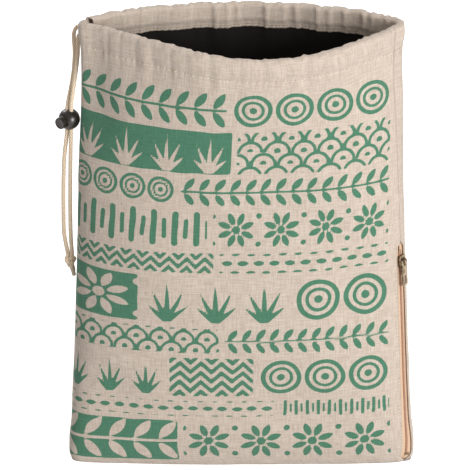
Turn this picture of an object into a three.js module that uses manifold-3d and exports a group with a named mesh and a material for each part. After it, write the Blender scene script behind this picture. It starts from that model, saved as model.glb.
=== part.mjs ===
// Lined drawstring produce bag: two canvas panels with folded casings, a black
// lining, a drawcord with a ball lock and knot, and a zip in the right side seam.
// Millimetres, +Z up, the front faces -Y, the origin is under the middle of the bag.

import * as THREE from 'three';
import Module from 'manifold-3d';
import { mergeVertices } from 'three/addons/utils/BufferGeometryUtils.js';

const wasm = await Module();
wasm.setup();

// Driving dimensions of the bag
const BAG_HEIGHT = 384;
const BAG_WIDTH = 277;
const MOUTH_DEPTH = 108;
const SIDE_THICKNESS = 16;
const CANVAS = 1.2;
const LINING = 1.0;
const SEAM_GAP = 0.3;
const SEAM_SHIFT = 9;
const ZIP_SHIFT = 15;
const RIM_DIP = 3.5;
const FRONT_SAG = 6.5;

// Driving dimensions of the casing that holds the drawcord
const CASING_HEIGHT = 22;
const CORD_DIAMETER = 3.4;
const CORD_CLEARANCE = 0.5;
const CORD_SLOT = 5.2;
const LINING_TUCK = 3;

// Driving dimensions of the zip
const ZIP_TOP = 198;
const ZIP_BOTTOM = 1;
const ZIP_OPENING = 7;
const ZIP_HEAD_LENGTH = 8;
const ZIP_FOOT_LENGTH = 4;
const COIL_WIDTH = 1.1;
const COIL_THICKNESS = 1.1;
const TAPE_WIDTH = 8.5;
const TAPE_THICKNESS = 0.6;
const SLIDER_DROP = 24;
const SLIDER_LENGTH = 11;
const SLIDER_WIDTH = 7.6;
const SLIDER_PLATE = 1.2;
const PULLER_LENGTH = 23;
const PULLER_WIDTH = 6.4;
const PULLER_THICKNESS = 1.1;

// Driving dimensions of the cord lock and the knot
const BALL_DIAMETER = 17.6;
const PLUNGER_DIAMETER = 9.8;
const PLUNGER_REACH = 12.2;
const PLUNGER_TRAVEL = 2.6;
const PLUNGER_END_WALL = 1;
const LOCK_CENTRE = new THREE.Vector3(-137.9, 9, 296);
const LOCK_TURN = THREE.MathUtils.degToRad(-130);
const STRAND_SPACING = 4;
const KNOT_CENTRE = new THREE.Vector3(-137.4, 9, 170);
const KNOT_WIDTH = 9;
const KNOT_HEIGHT = 9;
const TAIL_LENGTH = 8;

// Depth of the deepest gather under the casing and of the deepest dent below it
const GATHER_DEPTH = 3;
const DENT_DEPTH = 4;

// Level sections of the bag, from the base to the rim. height is a share of BAG_HEIGHT,
// width of BAG_WIDTH, front and back of MOUTH_DEPTH. left, right and rear say how far
// that part of the outline is pinched to its side seam: below 1 is boxy, 1 is an
// ellipse and 2 and more is a lens.
const SECTIONS = [
  { height: 0.0, width: 0.985, front: 0.165, back: 0.15, left: 0.3, right: 0.3, rear: 0.3 },
  { height: 0.013, width: 0.996, front: 0.195, back: 0.18, left: 0.35, right: 0.35, rear: 0.35 },
  { height: 0.036, width: 1.0, front: 0.23, back: 0.215, left: 0.45, right: 0.45, rear: 0.45 },
  { height: 0.09, width: 0.988, front: 0.285, back: 0.265, left: 0.6, right: 0.55, rear: 0.58 },
  { height: 0.18, width: 0.977, front: 0.34, back: 0.315, left: 0.75, right: 0.7, rear: 0.7 },
  { height: 0.31, width: 0.967, front: 0.395, back: 0.365, left: 0.95, right: 0.85, rear: 0.85 },
  { height: 0.65, width: 0.94, front: 0.46, back: 0.42, left: 1.3, right: 1.1, rear: 1.1 },
  { height: 0.79, width: 0.932, front: 0.485, back: 0.435, left: 1.7, right: 1.3, rear: 1.2 },
  { height: 0.89, width: 0.928, front: 0.51, back: 0.447, left: 2.3, right: 1.6, rear: 1.3 },
  { height: 0.943, width: 0.928, front: 0.525, back: 0.455, left: 2.8, right: 1.6, rear: 1.5 },
  { height: 1.0, width: 0.938, front: 0.537, back: 0.463, left: 3.2, right: 1.6, rear: 1.65 },
];

// Gathers of the casing. at is a share of the panel's width, from its left edge as the
// bag's front sees it, spread is the half width as such a share, depth of GATHER_DEPTH.
const GATHERS = {
  front: [
    { at: 0.09, spread: 0.05, depth: 0.55 },
    { at: 0.3, spread: 0.06, depth: 0.4 },
    { at: 0.52, spread: 0.06, depth: 0.35 },
    { at: 0.74, spread: 0.06, depth: 0.45 },
    { at: 0.9, spread: 0.05, depth: 0.35 },
  ],
  back: [
    { at: 0.13, spread: 0.06, depth: 0.6 },
    { at: 0.28, spread: 0.05, depth: 0.8 },
    { at: 0.41, spread: 0.05, depth: 1.0 },
    { at: 0.55, spread: 0.05, depth: 0.85 },
    { at: 0.69, spread: 0.06, depth: 1.0 },
    { at: 0.86, spread: 0.05, depth: 0.7 },
  ],
};

// Dents of the cloth below the casing. at and spread as for the gathers, height and
// reach are shares of BAG_HEIGHT, depth of DENT_DEPTH, and a minus swells outwards.
const DENTS = {
  front: [
    { at: 0.1, spread: 0.12, height: 0.82, reach: 0.14, depth: 0.8 },
    { at: 0.3, spread: 0.2, height: 0.5, reach: 0.2, depth: -0.5 },
    { at: 0.62, spread: 0.16, height: 0.7, reach: 0.16, depth: 0.55 },
    { at: 0.85, spread: 0.12, height: 0.4, reach: 0.2, depth: 0.7 },
    { at: 0.2, spread: 0.14, height: 0.17, reach: 0.1, depth: 0.6 },
    { at: 0.7, spread: 0.18, height: 0.14, reach: 0.09, depth: 0.5 },
  ],
  back: [
    { at: 0.2, spread: 0.14, height: 0.72, reach: 0.18, depth: 0.8 },
    { at: 0.5, spread: 0.2, height: 0.45, reach: 0.22, depth: -0.5 },
    { at: 0.78, spread: 0.14, height: 0.66, reach: 0.18, depth: 0.9 },
    { at: 0.35, spread: 0.16, height: 0.18, reach: 0.1, depth: 0.6 },
  ],
};

// Routes of the two free cord ends, chosen by hand from where they leave the casing's
// slot behind the left corner, down through the ball lock and to the knot.
const FRONT_END_ROUTE = [
  [-130.4, 14.3, 375.3], [-131.8, 15.2, 373.6], [-133.1, 16.0, 371.0], [-133.9, 16.6, 367.4],
  [-133.9, 16.6, 361.5], [-133.4, 16.2, 353], [-133.7, 15.3, 343], [-134.8, 14.1, 332],
  [-136.7, 12.6, 320.5], [-138.8, 10.9, 310], [-139.43, 10.29, 304], [-139.43, 10.29, 296],
  [-139.43, 10.29, 288], [-140.4, 10.6, 277], [-141.9, 10.8, 262], [-142.7, 10.9, 240],
  [-142.8, 10.8, 215], [-142.4, 10.7, 195], [-140.6, 10.5, 183], [-139.0, 10.2, 174.9],
];
const BACK_END_ROUTE = [
  [-129.7, 13.5, 368.4], [-130.3, 13.6, 366.2], [-130.6, 13.2, 363.4], [-130.7, 12.6, 359],
  [-130.8, 11.7, 352], [-131.8, 10.6, 342], [-133.4, 9.5, 330], [-135.0, 8.4, 318],
  [-136.2, 7.8, 309], [-136.37, 7.71, 303], [-136.37, 7.71, 296], [-136.37, 7.71, 288],
  [-136.8, 7.6, 272], [-137.1, 7.5, 252], [-137.3, 7.5, 232], [-137.3, 7.5, 212],
  [-137.0, 7.6, 193], [-136.4, 7.7, 183], [-135.9, 7.8, 174.9],
];

// Mesh densities. A panel's columns stand closer where it turns round the bag's side.
const SIDE_COLUMN_SHARES = {
  front: [0, 0.011, 0.022, 0.033, 0.046, 0.064],
  back: [0, 0.014, 0.028, 0.042, 0.056, 0.075],
};
const WALL_COLUMNS = 22;
const OUTLINE_SAMPLES = 720;
const CORD_SIDES = 8;

// Depths below the cloth's outer face
const LINING_OUTER = CANVAS + SEAM_GAP;
const LINING_INNER = LINING_OUTER + LINING;
const TAPE_OUTER = CANVAS + 2 * SEAM_GAP;
const TAPE_INNER = TAPE_OUTER + TAPE_THICKNESS;
const FLAP_CLEAR = CANVAS + CORD_CLEARANCE + CORD_DIAMETER + CORD_CLEARANCE;
const FLAP_CLOSED = LINING_INNER + SEAM_GAP;
const CORD_INSET = CANVAS + CORD_CLEARANCE + CORD_DIAMETER / 2;
const STITCH_HEIGHT = BAG_HEIGHT - CASING_HEIGHT;

// Finishes
function finish(color, roughness, metalness = 0) {
  return new THREE.MeshStandardMaterial({ color, roughness, metalness });
}
const canvasFinish = finish(0xddd0bd, 0.95);
const liningFinish = finish(0x15120f, 0.85);
const cordFinish = finish(0xd2b592, 0.9);
const tapeFinish = finish(0xc8a78a, 0.9);
const coilFinish = finish(0xb98f78, 0.6);
const plasticFinish = finish(0x1c1917, 0.45);
const brassFinish = finish(0x7e6a54, 0.35, 0.9);

// A number that rises smoothly from 0 to 1 between two values
function rise(value, from, to) {
  return THREE.MathUtils.smoothstep(value, from, to);
}

// A bump of height 1 at its middle that falls to 0 at its spread on either side
function bump(value, middle, spread) {
  const share = Math.min(1, Math.abs(value - middle) / spread);
  return Math.cos(share * Math.PI / 2) ** 2;
}

// The section at one height, between the two rows of the table that enclose it
function sectionAt(height) {
  const share = THREE.MathUtils.clamp(height / BAG_HEIGHT, 0, 1);
  const above = Math.max(1, SECTIONS.findIndex((row) => row.height >= share));
  const low = SECTIONS[above - 1];
  const high = SECTIONS[above];
  const part = (share - low.height) / (high.height - low.height);
  const between = (name) => THREE.MathUtils.lerp(low[name], high[name], part);
  return {
    halfWidth: between('width') * BAG_WIDTH / 2,
    front: between('front') * MOUTH_DEPTH,
    back: between('back') * MOUTH_DEPTH,
    left: between('left'),
    right: between('right'),
    rear: between('rear'),
  };
}

// The side seams lie behind the middle, because the front stands out further at the rim
const RIM = SECTIONS[SECTIONS.length - 1];
const SEAM_PLANE = (RIM.front - RIM.back) * MOUTH_DEPTH / 2;
const SIDE_BLUNTNESS = 0.4;

// A point of a section's outline. The angle turns from the left side seam (pi) over the
// front and the right side to the back, and inset draws the outline in all round.
function outlinePoint(section, angle, inset) {
  const x = (section.halfWidth - inset) * Math.cos(angle);
  const sine = Math.abs(Math.sin(angle));
  const isFront = Math.sin(angle) < 0;
  const frontPower = x < 0 ? section.left : section.right;
  const power = isFront ? frontPower : section.rear;
  const depth = (isFront ? section.front : section.back) - SIDE_THICKNESS / 2;
  const side = (SIDE_THICKNESS / 2 - inset) * sine ** SIDE_BLUNTNESS;
  const y = side + depth * sine ** power;
  return new THREE.Vector2(x, SEAM_PLANE + (isFront ? -y : y));
}

// Each height's outline measured along its length, so that cloth keeps its width
const measuredOutlines = new Map();
function measuredOutline(height) {
  if (!measuredOutlines.has(height)) {
    const section = sectionAt(height);
    const lengths = [0];
    let last = outlinePoint(section, Math.PI, 0);
    for (let k = 1; k <= OUTLINE_SAMPLES; k += 1) {
      const next = outlinePoint(section, Math.PI * (1 + 2 * k / OUTLINE_SAMPLES), 0);
      lengths.push(lengths[k - 1] + next.distanceTo(last));
      last = next;
    }
    measuredOutlines.set(height, { section, lengths });
  }
  return measuredOutlines.get(height);
}

function girthAt(height) {
  return measuredOutline(height).lengths[OUTLINE_SAMPLES];
}

function rightSeamAt(height) {
  return measuredOutline(height).lengths[OUTLINE_SAMPLES / 2] - ZIP_SHIFT;
}

// The outline's angle at a distance along it from the left side
function angleAt(height, distance) {
  const { lengths } = measuredOutline(height);
  const girth = lengths[OUTLINE_SAMPLES];
  const wrapped = ((distance % girth) + girth) % girth;
  const above = Math.max(1, lengths.findIndex((length) => length >= wrapped));
  const part = (wrapped - lengths[above - 1]) / (lengths[above] - lengths[above - 1]);
  return Math.PI * (1 + 2 * (above - 1 + part) / OUTLINE_SAMPLES);
}

// The panel that a place of the cloth belongs to, and its share of that panel's width,
// from the left as the bag's front sees it
function panelShare(height, distance) {
  const right = rightSeamAt(height);
  return distance <= right
    ? { side: 'front', along: (distance + SEAM_SHIFT) / (right + SEAM_SHIFT) }
    : { side: 'back', along: 1 - (distance - right) / (girthAt(height) - SEAM_SHIFT - right) };
}

// How far the cloth is pushed in at a place: gathers along the casing, which fade out
// below it, dents, and the swell of the casing. All fade out at the side seams.
const GATHER_REACH = 3 * CASING_HEIGHT;
const SEAM_HOLD_SHARE = 0.04;

function pushAt(height, side, along) {
  const reach = rise(height, STITCH_HEIGHT - GATHER_REACH, STITCH_HEIGHT)
    * (1 - rise(height, STITCH_HEIGHT, BAG_HEIGHT) / 2);
  const gathered = GATHERS[side].reduce(
    (sum, fold) => sum + fold.depth * bump(along, fold.at, fold.spread), 0);
  const dented = DENTS[side].reduce(
    (sum, dent) => sum + dent.depth * bump(along, dent.at, dent.spread)
      * bump(height / BAG_HEIGHT, dent.height, dent.reach), 0);
  const swell = bump(height, STITCH_HEIGHT + CASING_HEIGHT / 2, CASING_HEIGHT / 2);
  const seamHold = rise(along, 0, SEAM_HOLD_SHARE) * rise(1 - along, 0, SEAM_HOLD_SHARE);
  return seamHold * (GATHER_DEPTH * gathered * reach + DENT_DEPTH * dented - CANVAS * swell);
}

// A point of the cloth: height up the bag, distance along the outline from the left
// side, and inset below the outer face. The rim dips towards its middle, and its front
// sags a little more, right of the middle.
const SAG_AT = 0.64;
const SAG_SPREAD = 0.36;
const DIP_HEIGHT = BAG_HEIGHT - 4 * CASING_HEIGHT;
const ANGLE_STEP = 0.01;

function clothPoint(height, distance, inset) {
  const { section } = measuredOutline(height);
  const angle = angleAt(height, distance);
  const place = outlinePoint(section, angle, inset);
  const before = outlinePoint(section, angle - ANGLE_STEP, 0);
  const after = outlinePoint(section, angle + ANGLE_STEP, 0);
  const inwards = new THREE.Vector2(before.y - after.y, after.x - before.x).normalize();
  const { side, along } = panelShare(height, distance);
  place.addScaledVector(inwards, pushAt(height, side, along));
  const sag = side === 'front' ? FRONT_SAG * bump(along, SAG_AT, SAG_SPREAD) : 0;
  const dip = RIM_DIP * Math.sin(angle) ** 2 + sag;
  const drop = dip * rise(height, DIP_HEIGHT, BAG_HEIGHT);
  return new THREE.Vector3(place.x, place.y, height - drop);
}

// A closed solid between two faces, each a grid of points of the same size. Columns run
// round the bag from the left over the front, rows run up.
function sheetSolid(columns, rows, outerPoint, innerPoint) {
  const points = [];
  for (const pointOf of [outerPoint, innerPoint]) {
    for (let i = 0; i < columns; i += 1) {
      for (let j = 0; j < rows; j += 1) {
        points.push(...pointOf(i, j).toArray());
      }
    }
  }
  const out = (i, j) => i * rows + j;
  const inn = (i, j) => (columns + i) * rows + j;
  const faces = [];
  const quad = (a, b, c, d) => faces.push(a, b, c, a, c, d);
  for (let i = 0; i < columns - 1; i += 1) {
    for (let j = 0; j < rows - 1; j += 1) {
      quad(out(i, j), out(i + 1, j), out(i + 1, j + 1), out(i, j + 1));
      quad(inn(i, j), inn(i, j + 1), inn(i + 1, j + 1), inn(i + 1, j));
    }
    quad(out(i + 1, 0), out(i, 0), inn(i, 0), inn(i + 1, 0));
    quad(out(i, rows - 1), out(i + 1, rows - 1), inn(i + 1, rows - 1), inn(i, rows - 1));
  }
  const last = columns - 1;
  for (let j = 0; j < rows - 1; j += 1) {
    quad(out(last, j + 1), out(last, j), inn(last, j), inn(last, j + 1));
    quad(out(0, j), out(0, j + 1), inn(0, j + 1), inn(0, j));
  }
  const geometry = new THREE.BufferGeometry();
  geometry.setAttribute('position', new THREE.Float32BufferAttribute(points, 3));
  geometry.setIndex(faces);
  return geometry;
}

function piece(name, geometry, material) {
  const mesh = new THREE.Mesh(geometry, material);
  mesh.name = name;
  return mesh;
}

// Shares of a panel's width at which its columns stand, from its first seam on
function columnShares(side) {
  const shares = [...SIDE_COLUMN_SHARES[side]];
  const sideEnd = shares[shares.length - 1];
  for (let k = 1; k <= WALL_COLUMNS; k += 1) {
    shares.push(sideEnd + (1 - sideEnd) * k / WALL_COLUMNS);
  }
  return shares;
}
const COLUMN_SHARES = { front: columnShares('front'), back: columnShares('back') };
const PANEL_COLUMNS = COLUMN_SHARES.front.length - 1;

// Heights of the rows that the panels and the lining share
const ZIP_HEAD = ZIP_TOP - ZIP_HEAD_LENGTH;
const ZIP_FOOT = ZIP_BOTTOM + ZIP_FOOT_LENGTH;
const WALL_HEIGHTS = SECTIONS.map((row) => row.height * BAG_HEIGHT)
  .filter((height) => height > 0 && height < STITCH_HEIGHT - 1)
  .concat([ZIP_HEAD, ZIP_TOP, STITCH_HEIGHT, STITCH_HEIGHT + LINING_TUCK])
  .sort((a, b) => a - b);

// How far a panel's edge stands off the right seam line, where the zip parts the panels
function zipCut(height) {
  const open = rise(height, ZIP_BOTTOM, ZIP_FOOT)
    * (1 - rise(height, ZIP_HEAD, ZIP_TOP));
  return SEAM_GAP / 2 + (ZIP_OPENING - SEAM_GAP) / 2 * open;
}

// How far a panel's edge stands off the left seam line, where the cord leaves the casing
function slotCut(height) {
  const open = rise(height, STITCH_HEIGHT, STITCH_HEIGHT + CASING_HEIGHT / 3);
  return SEAM_GAP / 2 + (CORD_SLOT - SEAM_GAP) / 2 * open;
}

// The two ends of a panel along the outline at one height
function panelSpan(side, height) {
  const right = rightSeamAt(height);
  return side === 'front'
    ? [slotCut(height) - SEAM_SHIFT, right - zipCut(height)]
    : [right + zipCut(height), girthAt(height) - SEAM_SHIFT - slotCut(height)];
}

// A point of a panel's cloth by the share of its width, and the same on its flat facets
function panelPoint(side, height, share, inset) {
  const [from, to] = panelSpan(side, height);
  return clothPoint(height, from + (to - from) * share, inset);
}

function facetPoint(side, height, share, inset) {
  const above = Math.max(1, COLUMN_SHARES[side].findIndex((column) => column >= share));
  const low = COLUMN_SHARES[side][above - 1];
  const high = COLUMN_SHARES[side][above];
  return panelPoint(side, height, low, inset)
    .lerp(panelPoint(side, height, high, inset), (share - low) / (high - low));
}

// The same at a distance from the right seam, where the zip is
function besideZip(side, height, distance, inset) {
  const [from, to] = panelSpan(side, height);
  const share = (distance - zipCut(height)) / (to - from);
  return facetPoint(side, height, side === 'front' ? 1 - share : share, inset);
}

// A panel's profile from the bottom seam over the base, up the wall, over the rim and
// down the inner side of the casing. The numbers are heights and depths below the face.
const RIM_ROUND = 3;
const FLAP_BEND = CASING_HEIGHT * 0.4;
const PANEL_PROFILE = [
  { height: 0, outer: 0, inner: CANVAS },
  ...WALL_HEIGHTS.map((height) => ({ height, outer: 0, inner: CANVAS })),
  { height: STITCH_HEIGHT + FLAP_BEND, outer: 0, inner: CANVAS },
  { height: BAG_HEIGHT - RIM_ROUND, outer: 0, inner: CANVAS },
  {
    height: BAG_HEIGHT,
    drop: CANVAS,
    outer: (FLAP_CLEAR + CANVAS) / 2,
    inner: (FLAP_CLEAR + CANVAS) / 2,
  },
  { height: BAG_HEIGHT - RIM_ROUND, outer: FLAP_CLEAR + CANVAS, inner: FLAP_CLEAR },
  { height: STITCH_HEIGHT + FLAP_BEND, outer: FLAP_CLEAR + CANVAS, inner: FLAP_CLEAR },
  { height: STITCH_HEIGHT + LINING_TUCK, outer: FLAP_CLOSED + CANVAS, inner: FLAP_CLOSED },
  { height: STITCH_HEIGHT, outer: FLAP_CLOSED + CANVAS, inner: FLAP_CLOSED },
];

// The bottom seam ends short of the side seams by this much
const BOTTOM_SEAM_END = 3;

// A point on the bottom seam line that a share of the panel's width folds down to
function bottomSeamPoint(side, share, height, inset) {
  const reach = sectionAt(0).halfWidth - BOTTOM_SEAM_END - inset;
  const x = THREE.MathUtils.lerp(-reach, reach, side === 'front' ? share : 1 - share);
  const apart = (side === 'front' ? -1 : 1) * SEAM_GAP / 2;
  return new THREE.Vector3(x + apart, SEAM_PLANE + apart, height);
}

function panelGeometry(side) {
  const point = (i, j, face) => {
    const share = COLUMN_SHARES[side][i];
    const inset = face === 'outer' ? 0 : CANVAS;
    if (j === 0) {
      return bottomSeamPoint(side, share, inset, inset);
    }
    const station = PANEL_PROFILE[j - 1];
    const place = panelPoint(side, station.height, share, station[face]);
    if (face === 'inner') {
      place.z -= station.drop ?? 0;
      place.z = Math.max(place.z, CANVAS);
    }
    return place;
  };
  return sheetSolid(
    PANEL_COLUMNS + 1,
    PANEL_PROFILE.length + 1,
    (i, j) => point(i, j, 'outer'),
    (i, j) => point(i, j, 'inner'));
}

// The lining is one sheet round the inside, slit at the right seam where the zip opens.
// It stands a little further in beside the zip, to clear the tapes under the canvas.
const LINING_PROFILE = [0, ...WALL_HEIGHTS];
const ZIP_SIDE = TAPE_WIDTH - 2;
const TAPE_ROOM = TAPE_INNER - CANVAS + SEAM_GAP;
const TAPE_SWELL = 4 * TAPE_WIDTH;
const TAPE_SWELL_TOP = 1.3 * ZIP_TOP;

function liningGeometry() {
  const columns = 2 * (PANEL_COLUMNS + 1);
  const point = (i, j, depth) => {
    const side = i <= PANEL_COLUMNS ? 'back' : 'front';
    const share = COLUMN_SHARES[side][i % (PANEL_COLUMNS + 1)];
    const floor = LINING_OUTER + depth;
    if (j === 0) {
      return bottomSeamPoint(side, share, floor, floor);
    }
    const height = LINING_PROFILE[j - 1];
    const [from, to] = panelSpan(side, height);
    const fromZip = zipCut(height) + (to - from) * (side === 'front' ? 1 - share : share);
    const nearZip = (1 - rise(fromZip, TAPE_WIDTH, TAPE_SWELL))
      * (1 - rise(height, ZIP_TOP, TAPE_SWELL_TOP));
    const inset = floor + TAPE_ROOM * nearZip;
    const isSlit = zipCut(height) > SEAM_GAP && fromZip < ZIP_SIDE;
    const place = isSlit
      ? besideZip(side, height, ZIP_SIDE, inset)
      : panelPoint(side, height, share, inset);
    place.z = Math.max(place.z, floor);
    return place;
  };
  return sheetSolid(
    columns,
    LINING_PROFILE.length + 1,
    (i, j) => point(i, j, 0),
    (i, j) => point(i, j, LINING));
}

// The zip's two halves: coils that meet below the slider and part above it, each on the
// edge of a tape that runs on under the canvas
const SLIDER_HEIGHT = ZIP_TOP - SLIDER_DROP;
const SLIDER_MIDDLE = SLIDER_HEIGHT + SLIDER_LENGTH / 2;
const POST_HALF = 0.7;
const TAPE_HEIGHTS = [ZIP_FOOT, SLIDER_HEIGHT, SLIDER_MIDDLE, SLIDER_HEIGHT + SLIDER_LENGTH]
  .concat(WALL_HEIGHTS.filter((height) => height > ZIP_FOOT && height <= ZIP_TOP))
  .sort((a, b) => a - b);
const COIL_HEIGHTS = TAPE_HEIGHTS.filter((height) => height <= ZIP_HEAD);
const PARTING_LENGTH = 6;

// How far a coil's edge stands off the seam line
function coilEdge(height) {
  const parted = rise(height, SLIDER_HEIGHT - PARTING_LENGTH, SLIDER_MIDDLE);
  return SEAM_GAP / 2 + (POST_HALF + SEAM_GAP / 2) * parted;
}

// A point at a distance across from the seam line, to its front for a minus sign
function seamPoint(sign, height, across, inset) {
  return clothPoint(height, rightSeamAt(height) + sign * across, inset);
}

// Columns run from the front to the back, so the front half's are turned round
function inOrder(sign, list) {
  return sign < 0 ? [...list].reverse() : list;
}

function coilGeometry(sign) {
  const inner = TAPE_OUTER - SEAM_GAP;
  const point = (i, j, inset) => {
    const height = COIL_HEIGHTS[j];
    const near = coilEdge(height);
    return seamPoint(sign, height, inOrder(sign, [near, near + COIL_WIDTH])[i], inset);
  };
  return sheetSolid(
    2,
    COIL_HEIGHTS.length,
    (i, j) => point(i, j, inner - COIL_THICKNESS),
    (i, j) => point(i, j, inner));
}

// The tape bends under the panel's edge and lies flat along its first facet
function tapeGeometry(sign) {
  const side = sign < 0 ? 'front' : 'back';
  const point = (i, j, inset) => {
    const height = TAPE_HEIGHTS[j];
    const column = inOrder(sign, ['near', 'edge', 'far'])[i];
    if (column === 'near') {
      return seamPoint(sign, height, coilEdge(height), inset);
    }
    const distance = column === 'edge' ? zipCut(height) + SEAM_GAP : TAPE_WIDTH;
    return besideZip(side, height, distance, inset);
  };
  return sheetSolid(
    3,
    TAPE_HEIGHTS.length,
    (i, j) => point(i, j, TAPE_OUTER),
    (i, j) => point(i, j, TAPE_INNER));
}

// Booleans on three.js geometries
function toSolid(geometry) {
  const bare = geometry.clone();
  bare.deleteAttribute('normal');
  bare.deleteAttribute('uv');
  const merged = mergeVertices(bare, 1e-4);
  return new wasm.Manifold(new wasm.Mesh({
    numProp: 3,
    vertProperties: new Float32Array(merged.attributes.position.array),
    triVerts: new Uint32Array(merged.index.array),
  }));
}

function fromSolid(solid) {
  const mesh = solid.getMesh();
  const geometry = new THREE.BufferGeometry();
  geometry.setAttribute('position', new THREE.BufferAttribute(mesh.vertProperties, 3));
  geometry.setIndex(new THREE.BufferAttribute(mesh.triVerts, 1));
  return geometry;
}

// A rectangle with round corners, as a shape
function roundedRectangle(shape, x, y, width, height, radius) {
  shape.moveTo(x + radius, y);
  shape.lineTo(x + width - radius, y);
  shape.absarc(x + width - radius, y + radius, radius, -Math.PI / 2, 0);
  shape.lineTo(x + width, y + height - radius);
  shape.absarc(x + width - radius, y + height - radius, radius, 0, Math.PI / 2);
  shape.lineTo(x + radius, y + height);
  shape.absarc(x + radius, y + height - radius, radius, Math.PI / 2, Math.PI);
  shape.lineTo(x, y + radius);
  shape.absarc(x + radius, y + radius, radius, Math.PI, 1.5 * Math.PI);
  return shape;
}

function plate(x, y, width, height, radius, bottom, thickness) {
  const shape = roundedRectangle(new THREE.Shape(), x, y, width, height, radius);
  const geometry = new THREE.ExtrudeGeometry(shape, {
    depth: thickness, bevelEnabled: false, curveSegments: 3,
  });
  return geometry.translate(0, 0, bottom);
}

// The slider, in its own frame: x across the zip, y up it, z outwards, with the cloth's
// outer face at z = 0. Two plates are joined by the post that parts the coils, and a
// bridge on the outer plate holds the puller.
const SLIDER_LIFT = 0.4;
const OUTER_PLATE = SLIDER_LIFT + SLIDER_PLATE;
const INNER_PLATE_TOP = -TAPE_INNER - 4 * SEAM_GAP;
const INNER_PLATE_WIDTH = SLIDER_WIDTH - 2.2;
const POST_LENGTH = 2.6;
const BRIDGE_WIDTH = 2;
const BRIDGE_STRIP = 0.9;
const BRIDGE_HEIGHT = 3.3;
const BRIDGE_BOTTOM = 3;
const BRIDGE_TOP = 9.4;
const PULLER_AXIS_HEIGHT = OUTER_PLATE + PULLER_THICKNESS / 2 + 2 * SEAM_GAP;
const PULLER_AXIS_UP = (BRIDGE_BOTTOM + BRIDGE_TOP) / 2 + BRIDGE_STRIP;

function bridgeGeometry() {
  const arch = new THREE.Shape();
  const middle = (BRIDGE_BOTTOM + BRIDGE_TOP) / 2;
  const outerReach = (BRIDGE_TOP - BRIDGE_BOTTOM) / 2;
  const innerReach = outerReach - BRIDGE_STRIP;
  const root = OUTER_PLATE - SEAM_GAP;
  arch.moveTo(BRIDGE_BOTTOM, root);
  arch.lineTo(BRIDGE_TOP, root);
  arch.absellipse(middle, root, outerReach, BRIDGE_HEIGHT + SEAM_GAP, 0, Math.PI);
  const hole = new THREE.Path();
  hole.moveTo(middle - innerReach, OUTER_PLATE);
  hole.lineTo(middle + innerReach, OUTER_PLATE);
  hole.absellipse(middle, OUTER_PLATE, innerReach, BRIDGE_HEIGHT - BRIDGE_STRIP, 0, Math.PI);
  arch.holes.push(hole);
  const geometry = new THREE.ExtrudeGeometry(arch, {
    depth: BRIDGE_WIDTH, bevelEnabled: false, curveSegments: 10,
  });
  geometry.translate(0, 0, -BRIDGE_WIDTH / 2);
  const turn = new THREE.Matrix4().makeBasis(
    new THREE.Vector3(0, 1, 0), new THREE.Vector3(0, 0, 1), new THREE.Vector3(1, 0, 0));
  return geometry.applyMatrix4(turn);
}

function sliderGeometry() {
  const half = SLIDER_WIDTH / 2;
  const outer = plate(-half, 0, SLIDER_WIDTH, SLIDER_LENGTH, 2, SLIDER_LIFT, SLIDER_PLATE);
  const inner = plate(-INNER_PLATE_WIDTH / 2, 0, INNER_PLATE_WIDTH, SLIDER_LENGTH, 2,
    INNER_PLATE_TOP - SLIDER_PLATE, SLIDER_PLATE);
  const postDepth = OUTER_PLATE - INNER_PLATE_TOP;
  const post = new THREE.BoxGeometry(2 * POST_HALF, POST_LENGTH, postDepth);
  post.translate(0, SLIDER_LENGTH - POST_LENGTH / 2 - SEAM_GAP,
    INNER_PLATE_TOP + postDepth / 2 - SLIDER_LIFT);
  const solid = toSolid(outer)
    .add(toSolid(inner))
    .add(toSolid(post))
    .add(toSolid(bridgeGeometry()));
  return fromSolid(solid);
}

// The puller hangs on the bridge by the bar above its eye. Its frame has the hinge axis
// at the origin.
const PULLER_BAR = 1.2;
const EYE_WIDTH = BRIDGE_WIDTH + 3 * SEAM_GAP;
const EYE_LENGTH = 4.2;
const GRIP_SLOT_WIDTH = 2.8;
const GRIP_SLOT_LENGTH = 7;
const GRIP_SLOT_MARGIN = 1.8;

function pullerGeometry() {
  const top = PULLER_BAR / 2;
  const bottom = top - PULLER_LENGTH;
  const shape = roundedRectangle(
    new THREE.Shape(), -PULLER_WIDTH / 2, bottom, PULLER_WIDTH, PULLER_LENGTH, 1.2);
  const eye = roundedRectangle(
    new THREE.Path(), -EYE_WIDTH / 2, top - PULLER_BAR - EYE_LENGTH, EYE_WIDTH, EYE_LENGTH, 0.6);
  const slot = roundedRectangle(
    new THREE.Path(), -GRIP_SLOT_WIDTH / 2, bottom + GRIP_SLOT_MARGIN,
    GRIP_SLOT_WIDTH, GRIP_SLOT_LENGTH, 0.6);
  shape.holes.push(eye, slot);
  const geometry = new THREE.ExtrudeGeometry(shape, {
    depth: PULLER_THICKNESS, bevelEnabled: false, curveSegments: 3,
  });
  return geometry.translate(0, 0, -PULLER_THICKNESS / 2);
}

// The stop that bridges both coils near the foot of the zip
const STOP_LENGTH = 2.4;
const STOP_THICKNESS = 0.8;
function stopGeometry() {
  const bottom = ZIP_FOOT + STOP_LENGTH / 2;
  const heights = [bottom, bottom + STOP_LENGTH];
  const inner = TAPE_OUTER - COIL_THICKNESS - 2 * SEAM_GAP;
  const point = (i, j, inset) => {
    const reach = coilEdge(heights[j]) + COIL_WIDTH;
    return seamPoint(i === 0 ? -1 : 1, heights[j], reach, inset);
  };
  return sheetSolid(
    2,
    2,
    (i, j) => point(i, j, inner - STOP_THICKNESS),
    (i, j) => point(i, j, inner));
}

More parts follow.
